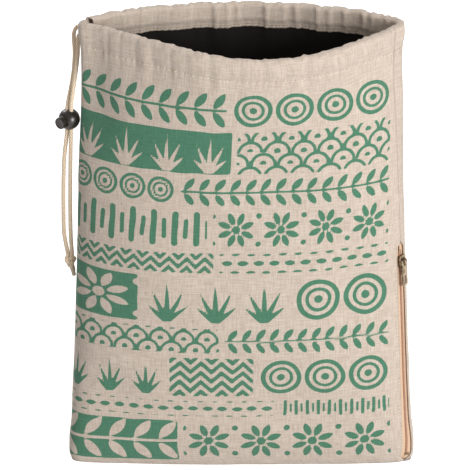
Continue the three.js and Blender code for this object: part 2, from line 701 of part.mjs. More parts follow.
// A frame that stands on the cloth at the right seam: x along the outline, y up the
// seam, z out
function seamFrame(height) {
  const origin = seamPoint(1, height, 0, 0);
  const along = seamPoint(1, height, COIL_WIDTH, 0).sub(seamPoint(-1, height, COIL_WIDTH, 0));
  const up = seamPoint(1, height + SLIDER_LENGTH, 0, 0).sub(origin).normalize();
  along.addScaledVector(up, -along.dot(up)).normalize();
  const out = new THREE.Vector3().crossVectors(along, up);
  const group = new THREE.Group();
  group.applyMatrix4(new THREE.Matrix4().makeBasis(along, up, out).setPosition(origin));
  return group;
}

function zipHardware() {
  const frame = seamFrame(SLIDER_HEIGHT);
  const slider = piece('zip_slider', sliderGeometry(), brassFinish);
  const puller = piece('zip_puller', pullerGeometry(), brassFinish);
  puller.position.set(0, PULLER_AXIS_UP, PULLER_AXIS_HEIGHT);
  frame.add(slider, puller);
  return frame;
}

// A tube of cord along a curve, with its ends flat
function extrudeCord(curve, steps) {
  const round = new THREE.Shape();
  round.absarc(0, 0, CORD_DIAMETER / 2, 0, 2 * Math.PI);
  return new THREE.ExtrudeGeometry(round, {
    steps,
    extrudePath: curve,
    bevelEnabled: false,
    curveSegments: CORD_SIDES / 2,
  });
}

const toVector = (place) => new THREE.Vector3(...place);
const CORD_STEP = 2.6 * CORD_DIAMETER;

function freeEnd(name, route) {
  const curve = new THREE.CatmullRomCurve3(route.map(toVector), false, 'centripetal');
  const steps = Math.round(curve.getLength() / CORD_STEP);
  return piece(name, extrudeCord(curve, steps), cordFinish);
}

// A curve through stations that an extrusion steps along exactly, so that the cord keeps
// to the facets of the casing round it
class StationCurve extends THREE.Curve {
  constructor(stations) {
    super();
    this.stations = stations;
  }

  getPoint(share) {
    const along = share * (this.stations.length - 1);
    const below = Math.min(Math.floor(along), this.stations.length - 2);
    return this.stations[below].clone().lerp(this.stations[below + 1], along - below);
  }

  getUtoTmapping(share) {
    return share;
  }
}

// The drawcord's held stretch runs round inside both casings. Near the left seam one end
// rises and the other sinks, so that both leave by the slot, one above the other.
const CHANNEL_LOW = STITCH_HEIGHT + FLAP_BEND;
const CHANNEL_HIGH = BAG_HEIGHT - RIM_ROUND;
const STRAND_STEP = (CORD_DIAMETER + 3 * SEAM_GAP) / 2;
const RISE_SHARE = 0.12;
const CORD_END_GAP = 0.5;
const SLOT_DROP = 1.2 * CORD_DIAMETER;

function channelPoint(side, share, lift) {
  const low = facetPoint(side, CHANNEL_LOW, share, CORD_INSET);
  const high = facetPoint(side, CHANNEL_HIGH, share, CORD_INSET);
  const middle = low.lerp(high, 0.5);
  return middle.setZ(middle.z + lift);
}

function slotPoint(route, across, inset) {
  const height = route[0][2] + SLOT_DROP * (1 + inset / CORD_INSET) / 2;
  return clothPoint(height, across - SEAM_SHIFT, inset).setZ(height);
}

function heldCord() {
  const leave = (route, distance) => {
    const end = toVector(route[0]);
    const back = end.clone().sub(toVector(route[1])).normalize();
    return end.addScaledVector(back, distance);
  };
  const stations = [
    leave(FRONT_END_ROUTE, CORD_END_GAP),
    leave(FRONT_END_ROUTE, CORD_DIAMETER / 3),
    slotPoint(FRONT_END_ROUTE, 0, CANVAS),
    slotPoint(FRONT_END_ROUTE, SEAM_GAP * 4, CORD_INSET),
    ...COLUMN_SHARES.front.slice(1, -1).map((share) => channelPoint(
      'front', share, STRAND_STEP * (1 - rise(share, 0, RISE_SHARE)))),
    ...COLUMN_SHARES.back.slice(0, -1).map((share) => channelPoint(
      'back', share, -STRAND_STEP * rise(share, 1 - RISE_SHARE, 1))),
    channelPoint('back', 1 - SIDE_COLUMN_SHARES.back[1], -STRAND_STEP),
    slotPoint(BACK_END_ROUTE, 0, CORD_INSET),
    slotPoint(BACK_END_ROUTE, 0, CANVAS),
    leave(BACK_END_ROUTE, CORD_DIAMETER / 3),
    leave(BACK_END_ROUTE, CORD_END_GAP),
  ];
  const curve = new StationCurve(stations);
  return piece('drawcord', extrudeCord(curve, stations.length - 1), cordFinish);
}

// The ball lock: a ball with an upright slot for both strands and a blind bore for the
// plunger, whose own slot is longer by its travel
const SLOT_HALF_LENGTH = (STRAND_SPACING + CORD_DIAMETER) / 2 + SEAM_GAP;
const SLOT_HALF_WIDTH = CORD_DIAMETER / 2 + SEAM_GAP;
const PLUNGER_END = -(SLOT_HALF_WIDTH + PLUNGER_END_WALL);
const BORE_DEPTH = PLUNGER_END - PLUNGER_TRAVEL - SEAM_GAP;
const LOCK_HEIGHT = 2 * BALL_DIAMETER;

function uprightSlot(fromX, toX) {
  const slot = new THREE.BoxGeometry(toX - fromX, 2 * SLOT_HALF_LENGTH, LOCK_HEIGHT);
  return toSolid(slot.translate((fromX + toX) / 2, 0, 0));
}

function cylinderAlongX(radius, fromX, toX, sides) {
  const cylinder = new THREE.CylinderGeometry(radius, radius, toX - fromX, sides);
  return toSolid(cylinder.rotateZ(Math.PI / 2).translate((fromX + toX) / 2, 0, 0));
}

function lockBodyGeometry() {
  const ball = new THREE.SphereGeometry(BALL_DIAMETER / 2, 20, 12);
  const bore = cylinderAlongX(PLUNGER_DIAMETER / 2 + SEAM_GAP, BORE_DEPTH, BALL_DIAMETER, 20);
  return fromSolid(toSolid(ball)
    .subtract(bore)
    .subtract(uprightSlot(-SLOT_HALF_WIDTH, SLOT_HALF_WIDTH)));
}

function plungerGeometry() {
  const stem = cylinderAlongX(PLUNGER_DIAMETER / 2, PLUNGER_END, PLUNGER_REACH, 20);
  return fromSolid(stem.subtract(uprightSlot(-SLOT_HALF_WIDTH, SLOT_HALF_WIDTH + PLUNGER_TRAVEL)));
}

function cordLock() {
  const lock = new THREE.Group();
  lock.position.copy(LOCK_CENTRE);
  lock.rotation.z = LOCK_TURN;
  lock.add(
    piece('cord_lock_body', lockBodyGeometry(), plasticFinish),
    piece('cord_lock_plunger', plungerGeometry(), plasticFinish));
  return lock;
}

// The knot that joins both strands, with their short tails spread a little below it
const TAIL_OFFSET = 0.35 * CORD_DIAMETER;
const TAIL_SPREAD = THREE.MathUtils.degToRad(10);

function knotGeometry() {
  const round = new THREE.SphereGeometry(0.5, 14, 8);
  round.scale(KNOT_WIDTH, KNOT_WIDTH * 0.85, KNOT_HEIGHT);
  const tails = [-1, 1].map((sign) => {
    const length = TAIL_LENGTH + KNOT_HEIGHT / 2;
    const tail = new THREE.CylinderGeometry(
      CORD_DIAMETER / 2, CORD_DIAMETER / 2, length, CORD_SIDES);
    tail.rotateX(Math.PI / 2);
    tail.translate(0, 0, -length / 2);
    tail.rotateY(sign * TAIL_SPREAD);
    return toSolid(tail.translate(sign * TAIL_OFFSET, 0, 0));
  });
  return fromSolid(toSolid(round).add(tails[0]).add(tails[1]));
}

function cordKnot() {
  const knot = piece('cord_knot', knotGeometry(), cordFinish);
  knot.position.copy(KNOT_CENTRE);
  return knot;
}

const group = new THREE.Group();
group.add(
  piece('front_panel', panelGeometry('front'), canvasFinish),
  piece('back_panel', panelGeometry('back'), canvasFinish),
  piece('lining', liningGeometry(), liningFinish),
  piece('zip_coil_front', coilGeometry(-1), coilFinish),
  piece('zip_coil_back', coilGeometry(1), coilFinish),
  piece('zip_tape_front', tapeGeometry(-1), tapeFinish),
  piece('zip_tape_back', tapeGeometry(1), tapeFinish),
  piece('zip_stop_bottom', stopGeometry(), brassFinish),
  zipHardware(),
  heldCord(),
  freeEnd('drawcord_front_end', FRONT_END_ROUTE),
  freeEnd('drawcord_back_end', BACK_END_ROUTE),
  cordLock(),
  cordKnot());

export default group;
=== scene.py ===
# %% [markdown]
# A lined drawstring bag for keeping vegetables in. Two cream canvas panels, printed in
# green on the front, fold over at the rim into a casing for a cord. A ball lock and a
# knot hold the cord's ends at the left corner, and a zip low in the right side seam lets
# the vegetables out. The lining is black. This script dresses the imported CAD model.

# %% The frame
import math

import bmesh
import bpy
import numpy as np
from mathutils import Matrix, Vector


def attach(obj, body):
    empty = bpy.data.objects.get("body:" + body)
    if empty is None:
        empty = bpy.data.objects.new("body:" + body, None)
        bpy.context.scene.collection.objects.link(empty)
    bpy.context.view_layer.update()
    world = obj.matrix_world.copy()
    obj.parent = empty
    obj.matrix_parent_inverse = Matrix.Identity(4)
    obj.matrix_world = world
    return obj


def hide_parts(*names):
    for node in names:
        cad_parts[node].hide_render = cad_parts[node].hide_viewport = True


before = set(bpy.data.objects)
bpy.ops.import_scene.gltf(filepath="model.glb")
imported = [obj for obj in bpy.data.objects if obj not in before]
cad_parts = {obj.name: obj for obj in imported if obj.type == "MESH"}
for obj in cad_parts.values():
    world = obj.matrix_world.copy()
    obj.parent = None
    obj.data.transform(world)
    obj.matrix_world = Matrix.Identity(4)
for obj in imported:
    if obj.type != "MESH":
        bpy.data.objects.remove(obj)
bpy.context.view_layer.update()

# %% [markdown]
# The camera comes first. The photograph looks down on the bag by about 25 degrees, from
# straight in front, with hardly any perspective, so a very long lens from far away fits.

# %% Camera
MM = 0.001
CAMERA_ELEVATION = math.radians(25)
CAMERA_DISTANCE = 14
CAMERA_TARGET = Vector((-0.0052, 0, 0.1977))
FRAME_WIDTH = 0.377

camera = bpy.data.objects.new("Camera", bpy.data.cameras.new("Camera"))
bpy.context.collection.objects.link(camera)
bpy.context.scene.camera = camera
towards_camera = Vector((0, -math.cos(CAMERA_ELEVATION), math.sin(CAMERA_ELEVATION)))
camera.location = CAMERA_TARGET + CAMERA_DISTANCE * towards_camera
camera.rotation_euler = (math.pi / 2 - CAMERA_ELEVATION, 0, 0)
camera.data.lens = camera.data.sensor_width * CAMERA_DISTANCE / FRAME_WIDTH
camera.data.clip_end = 100
bpy.context.scene.view_settings.view_transform = "Standard"
print("lens in mm:", round(camera.data.lens))

# %% [markdown]
# Cloth, cord and wire could be modelled by hand, sculpted or simulated. Here every piece
# is a surface on a grid of rows and columns, worked out in millimetres as one array,
# because each size then has a name and can be changed. These helpers turn such a grid
# into a mesh whose object stays at the origin.

# %% From grids to meshes


def grid_faces(rows, columns, close_rows=False, close_columns=False):
    """Quads between neighbouring points of a grid. A closed direction joins its last line
    to its first."""
    row = np.arange(rows if close_rows else rows - 1)[:, None]
    column = np.arange(columns if close_columns else columns - 1)[None, :]
    up = (row + 1) % rows
    right = (column + 1) % columns
    corners = [
        row * columns + column,
        row * columns + right,
        up * columns + right,
        up * columns + column,
    ]
    return np.stack(corners, axis=-1).reshape(-1, 4)


def corner_uv(uv):
    """The UV of each corner of the same quads, from an array (row lines, column lines, 2)."""
    corners = [uv[:-1, :-1], uv[:-1, 1:], uv[1:, 1:], uv[1:, :-1]]
    return np.stack(corners, axis=-2).reshape(-1, 2)


def make_piece(name, points, faces, uv=None):
    """A smooth mesh object at the origin from points in millimetres."""
    mesh = bpy.data.meshes.new(name)
    mesh.from_pydata((np.reshape(points, (-1, 3)) * MM).tolist(), [], faces.tolist())
    mesh.shade_smooth()
    if uv is not None:
        mesh.uv_layers.new(name="Cloth").data.foreach_set("uv", np.float32(uv).ravel())
    piece = bpy.data.objects.new(name, mesh)
    bpy.context.collection.objects.link(piece)
    return piece


def close_up(piece, merge=0.001 * MM):
    """Merges the points that meet at poles, and turns a closed mesh's faces outwards."""
    shell = bmesh.new()
    shell.from_mesh(piece.data)
    bmesh.ops.remove_doubles(shell, verts=shell.verts, dist=merge)
    bmesh.ops.recalc_face_normals(shell, faces=shell.faces)
    shell.to_mesh(piece.data)
    shell.free()
    return piece


def thicken(piece, thickness):
    """Gives a sheet its thickness, in millimetres, on the side that its faces turn from."""
    wall = piece.modifiers.new("Thickness", "SOLIDIFY")
    wall.thickness = thickness * MM
    wall.offset = -1
    return piece


print("a grid of 3 by 4 points has", len(grid_faces(3, 4)), "quads")

# %% [markdown]
# Folds and cords have no corners. A short table of given places is easier to read
# and change than a long list of points, so a cubic is carried smoothly through each one.
# A Blender curve could do this too, but the points are needed as numbers further on.

# %% Smooth curves through short tables
STEPS_PER_STATION = 40


def smooth_table(at, knots, values):
    """A cubic through each pair of rows, whose slopes at a row come from its neighbours."""
    slopes = np.gradient(values, knots)
    row = np.clip(np.searchsorted(knots, at, side="right") - 1, 0, len(knots) - 2)
    width = knots[row + 1] - knots[row]
    t = (at - knots[row]) / width
    low = (1 + 2 * t) * (1 - t) ** 2 * values[row] + t * (1 - t) ** 2 * width * slopes[row]
    high = t**2 * (3 - 2 * t) * values[row + 1] + t**2 * (t - 1) * width * slopes[row + 1]
    return low + high


def smooth_path(stations, step):
    """Evenly spaced points on a smooth curve through stations, about a step apart."""
    stations = np.array(stations, dtype=float)
    chords = np.linalg.norm(np.diff(stations, axis=0), axis=1)
    knots = np.concatenate([[0], np.cumsum(np.sqrt(chords))])
    fine = np.linspace(0, knots[-1], STEPS_PER_STATION * len(stations))
    curve = np.stack([smooth_table(fine, knots, stations[:, k]) for k in range(3)], axis=1)
    lengths = np.linalg.norm(np.diff(curve, axis=0), axis=1)
    along = np.concatenate([[0], np.cumsum(lengths)])
    even = np.linspace(0, along[-1], max(3, round(along[-1] / step) + 1))
    return np.stack([np.interp(even, along, curve[:, k]) for k in range(3)], axis=1)


def path_length(path):
    """The sum of the distances from each point to the next."""
    return np.linalg.norm(np.diff(path, axis=0), axis=1).sum()


quarter_bend = smooth_path([(0, 0, 0), (7, 0, 3), (10, 0, 10)], 1)
print("a bend through 3 stations:", len(quarter_bend), "points,",
      round(path_length(quarter_bend), 1), "mm")

# %% [markdown]
# Cords, wires and the knot's loop are all round tubes. A curve object with a bevel would
# look the same, but a tube made from its own rings can carry a UV map in metres, on which
# a braid keeps its scale, and its ends can be rounded off.

# %% Tubes along a path


def tube(name, path, radius, upright, sides, end_round=0.6):
    """A round tube along a path. Each ring stands square to the path, on two directions:
    one square to the path and to upright, one square to both. The last rings shrink to a
    point, so that both ends are rounded. UV is the share of a turn and the metres along."""
    steps = np.linalg.norm(np.diff(path, axis=0), axis=1)
    along = np.concatenate([[0], np.cumsum(steps)])
    ends = end_round * radius * np.array([0, 0.1, 0.35, 0.65, 1])
    shrink = np.array([0, 0.45, 0.8, 0.96, 1])
    stations = np.concatenate([ends, along[(along > ends[-1]) & (along < along[-1] - ends[-1])],
                               along[-1] - ends[::-1]])
    middle = len(stations) - 2 * len(ends)
    radii = radius * np.concatenate([shrink, np.ones(middle), shrink[::-1]])
    centres = np.stack([np.interp(stations, along, path[:, k]) for k in range(3)], axis=1)
    tangents = np.stack([np.interp(stations, along, np.gradient(path[:, k], along))
                         for k in range(3)], axis=1)
    first = np.cross(tangents, upright)
    first /= np.linalg.norm(first, axis=1, keepdims=True)
    second = np.cross(first, tangents)
    second /= np.linalg.norm(second, axis=1, keepdims=True)
    turn = np.linspace(0, 2 * np.pi, sides, endpoint=False)
    ring = (np.cos(turn)[None, :, None] * first[:, None, :]
            + np.sin(turn)[None, :, None] * second[:, None, :])
    points = centres[:, None, :] + radii[:, None, None] * ring
    faces = grid_faces(len(stations), sides, close_columns=True)
    share, metres = np.meshgrid(np.linspace(0, 1, sides + 1), stations * MM)
    return close_up(make_piece(name, points, faces, corner_uv(np.stack([share, metres], -1))))


# %% [markdown]
# The two free ends of a braided cotton cord leave the casing at the left corner, one
# behind the other, run through the ball lock and end in one knot. A simulation could let
# them hang, but their shape is known from the photograph. So each is a tube through a few
# stations, and the routes repeat the ones of the CAD solids.

# %% Free cord ends
CORD_DIAMETER = 3.4
CORD_SIDES = 20
CORD_STEP = 1.2
FRONT_END_ROUTE = [
    (-130.4, 14.3, 375.3), (-131.8, 15.2, 373.6), (-133.1, 16.0, 371.0), (-133.9, 16.6, 367.4),
    (-133.9, 16.6, 361.5), (-133.4, 16.2, 353), (-133.7, 15.3, 343), (-134.8, 14.1, 332),
    (-136.7, 12.6, 320.5), (-138.8, 10.9, 310), (-139.43, 10.29, 304), (-139.43, 10.29, 296),
    (-139.43, 10.29, 288), (-140.4, 10.6, 277), (-141.9, 10.8, 262), (-142.7, 10.9, 240),
    (-142.8, 10.8, 215), (-142.4, 10.7, 195), (-140.6, 10.5, 183), (-139.0, 10.2, 174.9),
]
BACK_END_ROUTE = [
    (-129.7, 13.5, 368.4), (-130.3, 13.6, 366.2), (-130.6, 13.2, 363.4), (-130.7, 12.6, 359),
    (-130.8, 11.7, 352), (-131.8, 10.6, 342), (-133.4, 9.5, 330), (-135.0, 8.4, 318),
    (-136.2, 7.8, 309), (-136.37, 7.71, 303), (-136.37, 7.71, 296), (-136.37, 7.71, 288),
    (-136.8, 7.6, 272), (-137.1, 7.5, 252), (-137.3, 7.5, 232), (-137.3, 7.5, 212),
    (-137.0, 7.6, 193), (-136.4, 7.7, 183), (-135.9, 7.8, 174.9),
]


def free_end(name, route):
    """A round tube along the smooth path through a route's stations, and that path."""
    path = smooth_path(route, CORD_STEP)
    cord = tube(name, path, CORD_DIAMETER / 2, (0, 1, 0), CORD_SIDES)
    print(name, "is", round(path_length(path)), "mm long")
    return cord, path


front_end, front_path = free_end("drawcord_front_braid", FRONT_END_ROUTE)
back_end, back_path = free_end("drawcord_back_braid", BACK_END_ROUTE)

# %% [markdown]
# The bag is a flat tube of canvas that stands on its folded base, open and gathered at
# the top. Everything sewn to it has to follow its folds, so one formula gives the cloth,
# and panels, lining, zip, stitches and cord all ask it for their places. Its driving
# sizes are those of the CAD model.

# %% Driving sizes of the bag, in millimetres
BAG_HEIGHT = 384
BAG_WIDTH = 277
MOUTH_DEPTH = 108
SIDE_THICKNESS = 16
SIDE_BLUNTNESS = 0.4
CANVAS = 1.2
LINING = 1.0
SEAM_GAP = 0.3
SEAM_SHIFT = 9
ZIP_SHIFT = 15
RIM_DIP = 3.5
FRONT_SAG = 6.5
SAG_AT = 0.64
SAG_SPREAD = 0.36
CASING_HEIGHT = 22
CORD_CLEARANCE = 0.5
CORD_SLOT = 5.2
LINING_TUCK = 3
STITCH_HEIGHT = BAG_HEIGHT - CASING_HEIGHT
GATHER_DEPTH = 3
GATHER_REACH = 3 * CASING_HEIGHT
DENT_DEPTH = 4
SEAM_HOLD_SHARE = 0.04
DIP_HEIGHT = BAG_HEIGHT - 4 * CASING_HEIGHT
ZIP_TOP = 198
ZIP_BOTTOM = 1
ZIP_OPENING = 7
ZIP_HEAD = ZIP_TOP - 8
ZIP_FOOT = ZIP_BOTTOM + 4
FLAP_CLEAR = CANVAS + CORD_CLEARANCE + CORD_DIAMETER + CORD_CLEARANCE
LINING_OUTER = CANVAS + SEAM_GAP
FLAP_CLOSED = LINING_OUTER + LINING + SEAM_GAP
CORD_INSET = CANVAS + CORD_CLEARANCE + CORD_DIAMETER / 2
TAPE_OUTER = CANVAS + 2 * SEAM_GAP
TAPE_THICKNESS = 0.6
print("room for the cord between the casing's sides:", round(FLAP_CLEAR - CANVAS, 1), "mm")

# %% [markdown]
# The cloth's form is set by three tables. Sections say how wide and deep
# the bag is at some heights, gathers say where the cord draws the casing in, and dents
# say where the walls sink or swell. All are shares of the named sizes, so they follow
# them when the bag is made larger or smaller.

# %% Level sections, gathers and dents
SECTION_COLUMNS = ("height", "width", "front", "back", "left", "right", "rear")
SECTIONS = dict(zip(SECTION_COLUMNS, np.array([
    (0.0, 0.985, 0.165, 0.15, 0.3, 0.3, 0.3),
    (0.013, 0.996, 0.195, 0.18, 0.35, 0.35, 0.35),
    (0.036, 1.0, 0.23, 0.215, 0.45, 0.45, 0.45),
    (0.09, 0.988, 0.285, 0.265, 0.6, 0.55, 0.58),
    (0.18, 0.977, 0.34, 0.315, 0.75, 0.7, 0.7),
    (0.31, 0.967, 0.395, 0.365, 0.95, 0.85, 0.85),
    (0.65, 0.94, 0.46, 0.42, 1.3, 1.1, 1.1),
    (0.79, 0.932, 0.485, 0.435, 1.7, 1.3, 1.2),
    (0.89, 0.928, 0.51, 0.447, 2.3, 1.6, 1.3),
    (0.943, 0.928, 0.525, 0.455, 2.8, 1.6, 1.5),
    (1.0, 0.938, 0.537, 0.463, 3.2, 1.6, 1.65),
]).T))
SEAM_PLANE = (SECTIONS["front"][-1] - SECTIONS["back"][-1]) * MOUTH_DEPTH / 2

# Columns: at, spread, depth
GATHERS = {
    "front": [(0.09, 0.05, 0.55), (0.3, 0.06, 0.4), (0.52, 0.06, 0.35), (0.74, 0.06, 0.45),
              (0.9, 0.05, 0.35)],
    "back": [(0.13, 0.06, 0.6), (0.28, 0.05, 0.8), (0.41, 0.05, 1.0), (0.55, 0.05, 0.85),
             (0.69, 0.06, 1.0), (0.86, 0.05, 0.7)],
}
# Columns: at, spread, height, reach, depth
DENTS = {
    "front": [(0.1, 0.12, 0.82, 0.14, 0.8), (0.3, 0.2, 0.5, 0.2, -0.5),
              (0.62, 0.16, 0.7, 0.16, 0.55), (0.85, 0.12, 0.4, 0.2, 0.7),
              (0.2, 0.14, 0.17, 0.1, 0.6), (0.7, 0.18, 0.14, 0.09, 0.5)],
    "back": [(0.2, 0.14, 0.72, 0.18, 0.8), (0.5, 0.2, 0.45, 0.22, -0.5),
             (0.78, 0.14, 0.66, 0.18, 0.9), (0.35, 0.16, 0.18, 0.1, 0.6)],
}
print("the side seams stand", round(SEAM_PLANE, 1), "mm off the middle")

# %% [markdown]
# At each height the bag's outline is a flat oval, pinched to its side seams by a power of
# the sine: 1 gives an ellipse, more gives a lens. Distances run along the outline from
# the left side over the front. Cloth hardly stretches, so a place on it is best given by
# its height and that distance.

# %% The outline at a height


def rise(value, start, end):
    """A smooth step from 0 at start to 1 at end."""
    share = np.clip((value - start) / (end - start), 0, 1)
    return share**2 * (3 - 2 * share)


def bump(value, middle, spread):
    """A bump of height 1 at its middle that falls to 0 at its spread on either side."""
    return np.cos(np.minimum(1, np.abs(value - middle) / spread) * np.pi / 2) ** 2


def section(name, height):
    """One column of the section table at a height, smooth between its rows."""
    share = np.clip(height / BAG_HEIGHT, 0, 1)
    return smooth_table(share, SECTIONS["height"], SECTIONS[name])


def outline_point(height, angle, inset):
    """x and y of the outline. The angle turns from the left side (pi) over the front and
    the right side to the back. x is the half width times the cosine. y is the sides'
    half thickness times a small power of the sine, plus the rest of the depth times the
    section's own power of it."""
    x = (section("width", height) * BAG_WIDTH / 2 - inset) * np.cos(angle)
    sine = np.abs(np.sin(angle))
    is_front = np.sin(angle) < 0
    front_power = np.where(x < 0, section("left", height), section("right", height))
    power = np.where(is_front, front_power, section("rear", height))
    depth = np.where(is_front, section("front", height), section("back", height)) * MOUTH_DEPTH
    side = (SIDE_THICKNESS / 2 - inset) * sine**SIDE_BLUNTNESS
    y = side + (depth - SIDE_THICKNESS / 2) * sine**power
    return x, SEAM_PLANE + np.where(is_front, -y, y)


OUTLINE_STEPS = 1440
OUTLINE_ANGLES = np.linspace(np.pi, 3 * np.pi, OUTLINE_STEPS + 1)
OUTLINE_HALF = OUTLINE_STEPS // 2


def outline_lengths(height):
    """For a column of heights, the outline's length up to each of its angles."""
    x, y = outline_point(height, OUTLINE_ANGLES[None, :], 0)
    steps = np.hypot(np.diff(x), np.diff(y))
    return np.concatenate([np.zeros((len(steps), 1)), np.cumsum(steps, axis=1)], axis=1)


def seams(height):
    """Where the right seam lies on the outline, and the outline's whole length."""
    lengths = outline_lengths(height)
    return lengths[:, OUTLINE_HALF:OUTLINE_HALF + 1] - ZIP_SHIFT, lengths[:, -1:]


rim_and_base = outline_lengths(np.array([[BAG_HEIGHT], [0]]))[:, -1]
print("round the rim and the base:", rim_and_base.round().tolist(), "mm")

# %% [markdown]
# Canvas is never quite flat. It has slow waves all over and creases near the seams, and
# the cord draws its casing into narrow pleats. Noise and short tables give these, because
# they should look chance yet come out the same each time.

# %% Creases and pleats
LATTICE = 64


def soft_noise(x, y, scale, seed):
    """Smooth values from -1 to 1: random ones on a lattice of that scale, blended between."""
    lattice = np.random.default_rng(seed).uniform(-1, 1, (LATTICE, LATTICE))
    column = np.floor(x / scale).astype(int)
    row = np.floor(y / scale).astype(int)
    across = rise(x / scale - column, 0, 1)
    upward = rise(y / scale - row, 0, 1)
    left, right = column % LATTICE, (column + 1) % LATTICE
    below, above = row % LATTICE, (row + 1) % LATTICE
    low = lattice[left, below] * (1 - across) + lattice[right, below] * across
    high = lattice[left, above] * (1 - across) + lattice[right, above] * across
    return low * (1 - upward) + high * upward


# Columns: at, depth. Narrow pleats that the cord draws into the casing.
PLEATS = {
    "front": [(0.04, 0.9), (0.08, 0.6), (0.13, 1.0), (0.17, 0.5), (0.22, 0.8), (0.27, 0.5),
              (0.33, 0.9), (0.38, 0.4), (0.45, 0.6), (0.53, 0.5), (0.6, 0.7), (0.66, 0.4),
              (0.72, 0.9), (0.77, 0.6), (0.81, 1.0), (0.86, 0.7), (0.91, 1.1), (0.95, 0.8)],
    "back": [(0.05, 1.2), (0.11, 0.9), (0.17, 1.3), (0.24, 0.8), (0.31, 1.2), (0.385, 1.9),
             (0.42, 1.5), (0.45, 1.7), (0.53, 1.9), (0.58, 1.4), (0.615, 1.7), (0.68, 1.9),
             (0.715, 1.5), (0.76, 1.6), (0.82, 2.0), (0.85, 1.4), (0.9, 1.7), (0.95, 1.2)],
}
PLEAT_SPREAD = 0.013
PLEAT_DEPTH = 0.8
PLEATS_START = STITCH_HEIGHT - 40
PLEATS_FULL = STITCH_HEIGHT + 6
# Columns: millimetres deep, lean, millimetres long, seed
WAVES = [(0.6, 0, 60, 3), (0.3, 0.6, 21, 5), (0.12, 0, 9, 8)]
PUCKER_DEPTH = 0.3
PUCKER_PITCH = 5.3
PUCKER_HEIGHT = STITCH_HEIGHT + 1.5
PUCKER_REACH = 4
SCALLOP_DEPTH = 0.9
SCALLOP_LENGTH = 3.3
SCALLOP_REACH = 9


def creases(height, distance, is_front, along):
    """Fine folds, in millimetres inwards: soft waves all over, some of them slanting, the
    pleats of the casing and small puckers along its stitch line."""
    waves = sum(depth * soft_noise(distance + lean * height, height, length, seed)
                for depth, lean, length, seed in WAVES)
    near_casing = rise(height, PLEATS_START, PLEATS_FULL)
    folds = 0.5 * soft_noise(distance, height / 4, 7, 11) * near_casing
    for side, faces_it in (("front", is_front), ("back", ~is_front)):
        for at, depth in PLEATS[side]:
            spread = PLEAT_SPREAD * (2 - near_casing)
            folds += faces_it * PLEAT_DEPTH * depth * bump(along, at, spread) * near_casing**2
    beside_stitches = np.exp(-((height - PUCKER_HEIGHT) / PUCKER_REACH) ** 2)
    puckers = PUCKER_DEPTH * np.sin(distance * 2 * np.pi / PUCKER_PITCH) * beside_stitches
    return waves + folds + puckers


def scallops(height, distance):
    """How far the rim's edge sinks between the small ruffles of the casing."""
    ruffles = SCALLOP_DEPTH * soft_noise(distance, height, SCALLOP_LENGTH, 17)
    return ruffles * rise(height, BAG_HEIGHT - SCALLOP_REACH, BAG_HEIGHT)


print("pleats:", {side: len(table) for side, table in PLEATS.items()})

# %% [markdown]
# Now the formula itself. A place starts on the outline and is pushed inwards by gathers,
# dents and creases. They all fade out at the side seams, where a row of stitches holds
# the cloth. Pieces below the canvas use the same formula with a depth, so they never
# come through it.

# %% Points of the cloth


def panel_share(height, distance):
    """Whether places lie on the front panel, and their share of their panel's width."""
    right, girth = seams(height)
    is_front = distance <= right
    along = np.where(is_front, (distance + SEAM_SHIFT) / (right + SEAM_SHIFT),
                     1 - (distance - right) / (girth - SEAM_SHIFT - right))
    return is_front, along


def push_at(height, distance):
    """How far the cloth is pushed in: gathers along the casing, dents below it, the
    casing's swell and the fine creases. All fade out at the side seams."""
    is_front, along = panel_share(height, distance)
    reach = (rise(height, STITCH_HEIGHT - GATHER_REACH, STITCH_HEIGHT)
             * (1 - rise(height, STITCH_HEIGHT, BAG_HEIGHT) / 2))
    pushed = creases(height, distance, is_front, along)
    for side, faces_it in (("front", is_front), ("back", ~is_front)):
        for at, spread, depth in GATHERS[side]:
            pushed += faces_it * GATHER_DEPTH * depth * bump(along, at, spread) * reach
        for at, spread, middle, far, depth in DENTS[side]:
            hollow = bump(along, at, spread) * bump(height / BAG_HEIGHT, middle, far)
            pushed += faces_it * DENT_DEPTH * depth * hollow
    pushed -= CANVAS * bump(height, STITCH_HEIGHT + CASING_HEIGHT / 2, CASING_HEIGHT / 2)
    return pushed * rise(along, 0, SEAM_HOLD_SHARE) * rise(1 - along, 0, SEAM_HOLD_SHARE)


def cloth_point(height, distance, inset):
    """Points of the cloth, (rows, columns, 3), from a column of heights and, for each row,
    distances along the outline and depths below the cloth's outer face. The rim dips
    towards its middle, and its front sags a little more, right of the middle."""
    lengths = outline_lengths(height)
    girth = lengths[:, -1:]
    distance = (distance + SEAM_SHIFT) % girth - SEAM_SHIFT
    angle = np.array([np.interp(row, length, OUTLINE_ANGLES)
                      for row, length in zip(distance % girth, lengths)])
    x, y = outline_point(height, angle, inset)
    before = outline_point(height, angle - 0.01, 0)
    after = outline_point(height, angle + 0.01, 0)
    inward_x, inward_y = before[1] - after[1], after[0] - before[0]
    size = np.hypot(inward_x, inward_y)
    pushed = push_at(height, distance) / size
    is_front, along = panel_share(height, distance)
    dip = RIM_DIP * np.sin(angle) ** 2 + FRONT_SAG * is_front * bump(along, SAG_AT, SAG_SPREAD)
    drop = dip * rise(height, DIP_HEIGHT, BAG_HEIGHT) + scallops(height, distance)
    return np.stack([x + pushed * inward_x, y + pushed * inward_y, height - drop], axis=-1)


def unit(vectors):
    """Rows of vectors, each made one long."""
    return vectors / np.linalg.norm(vectors, axis=1, keepdims=True)


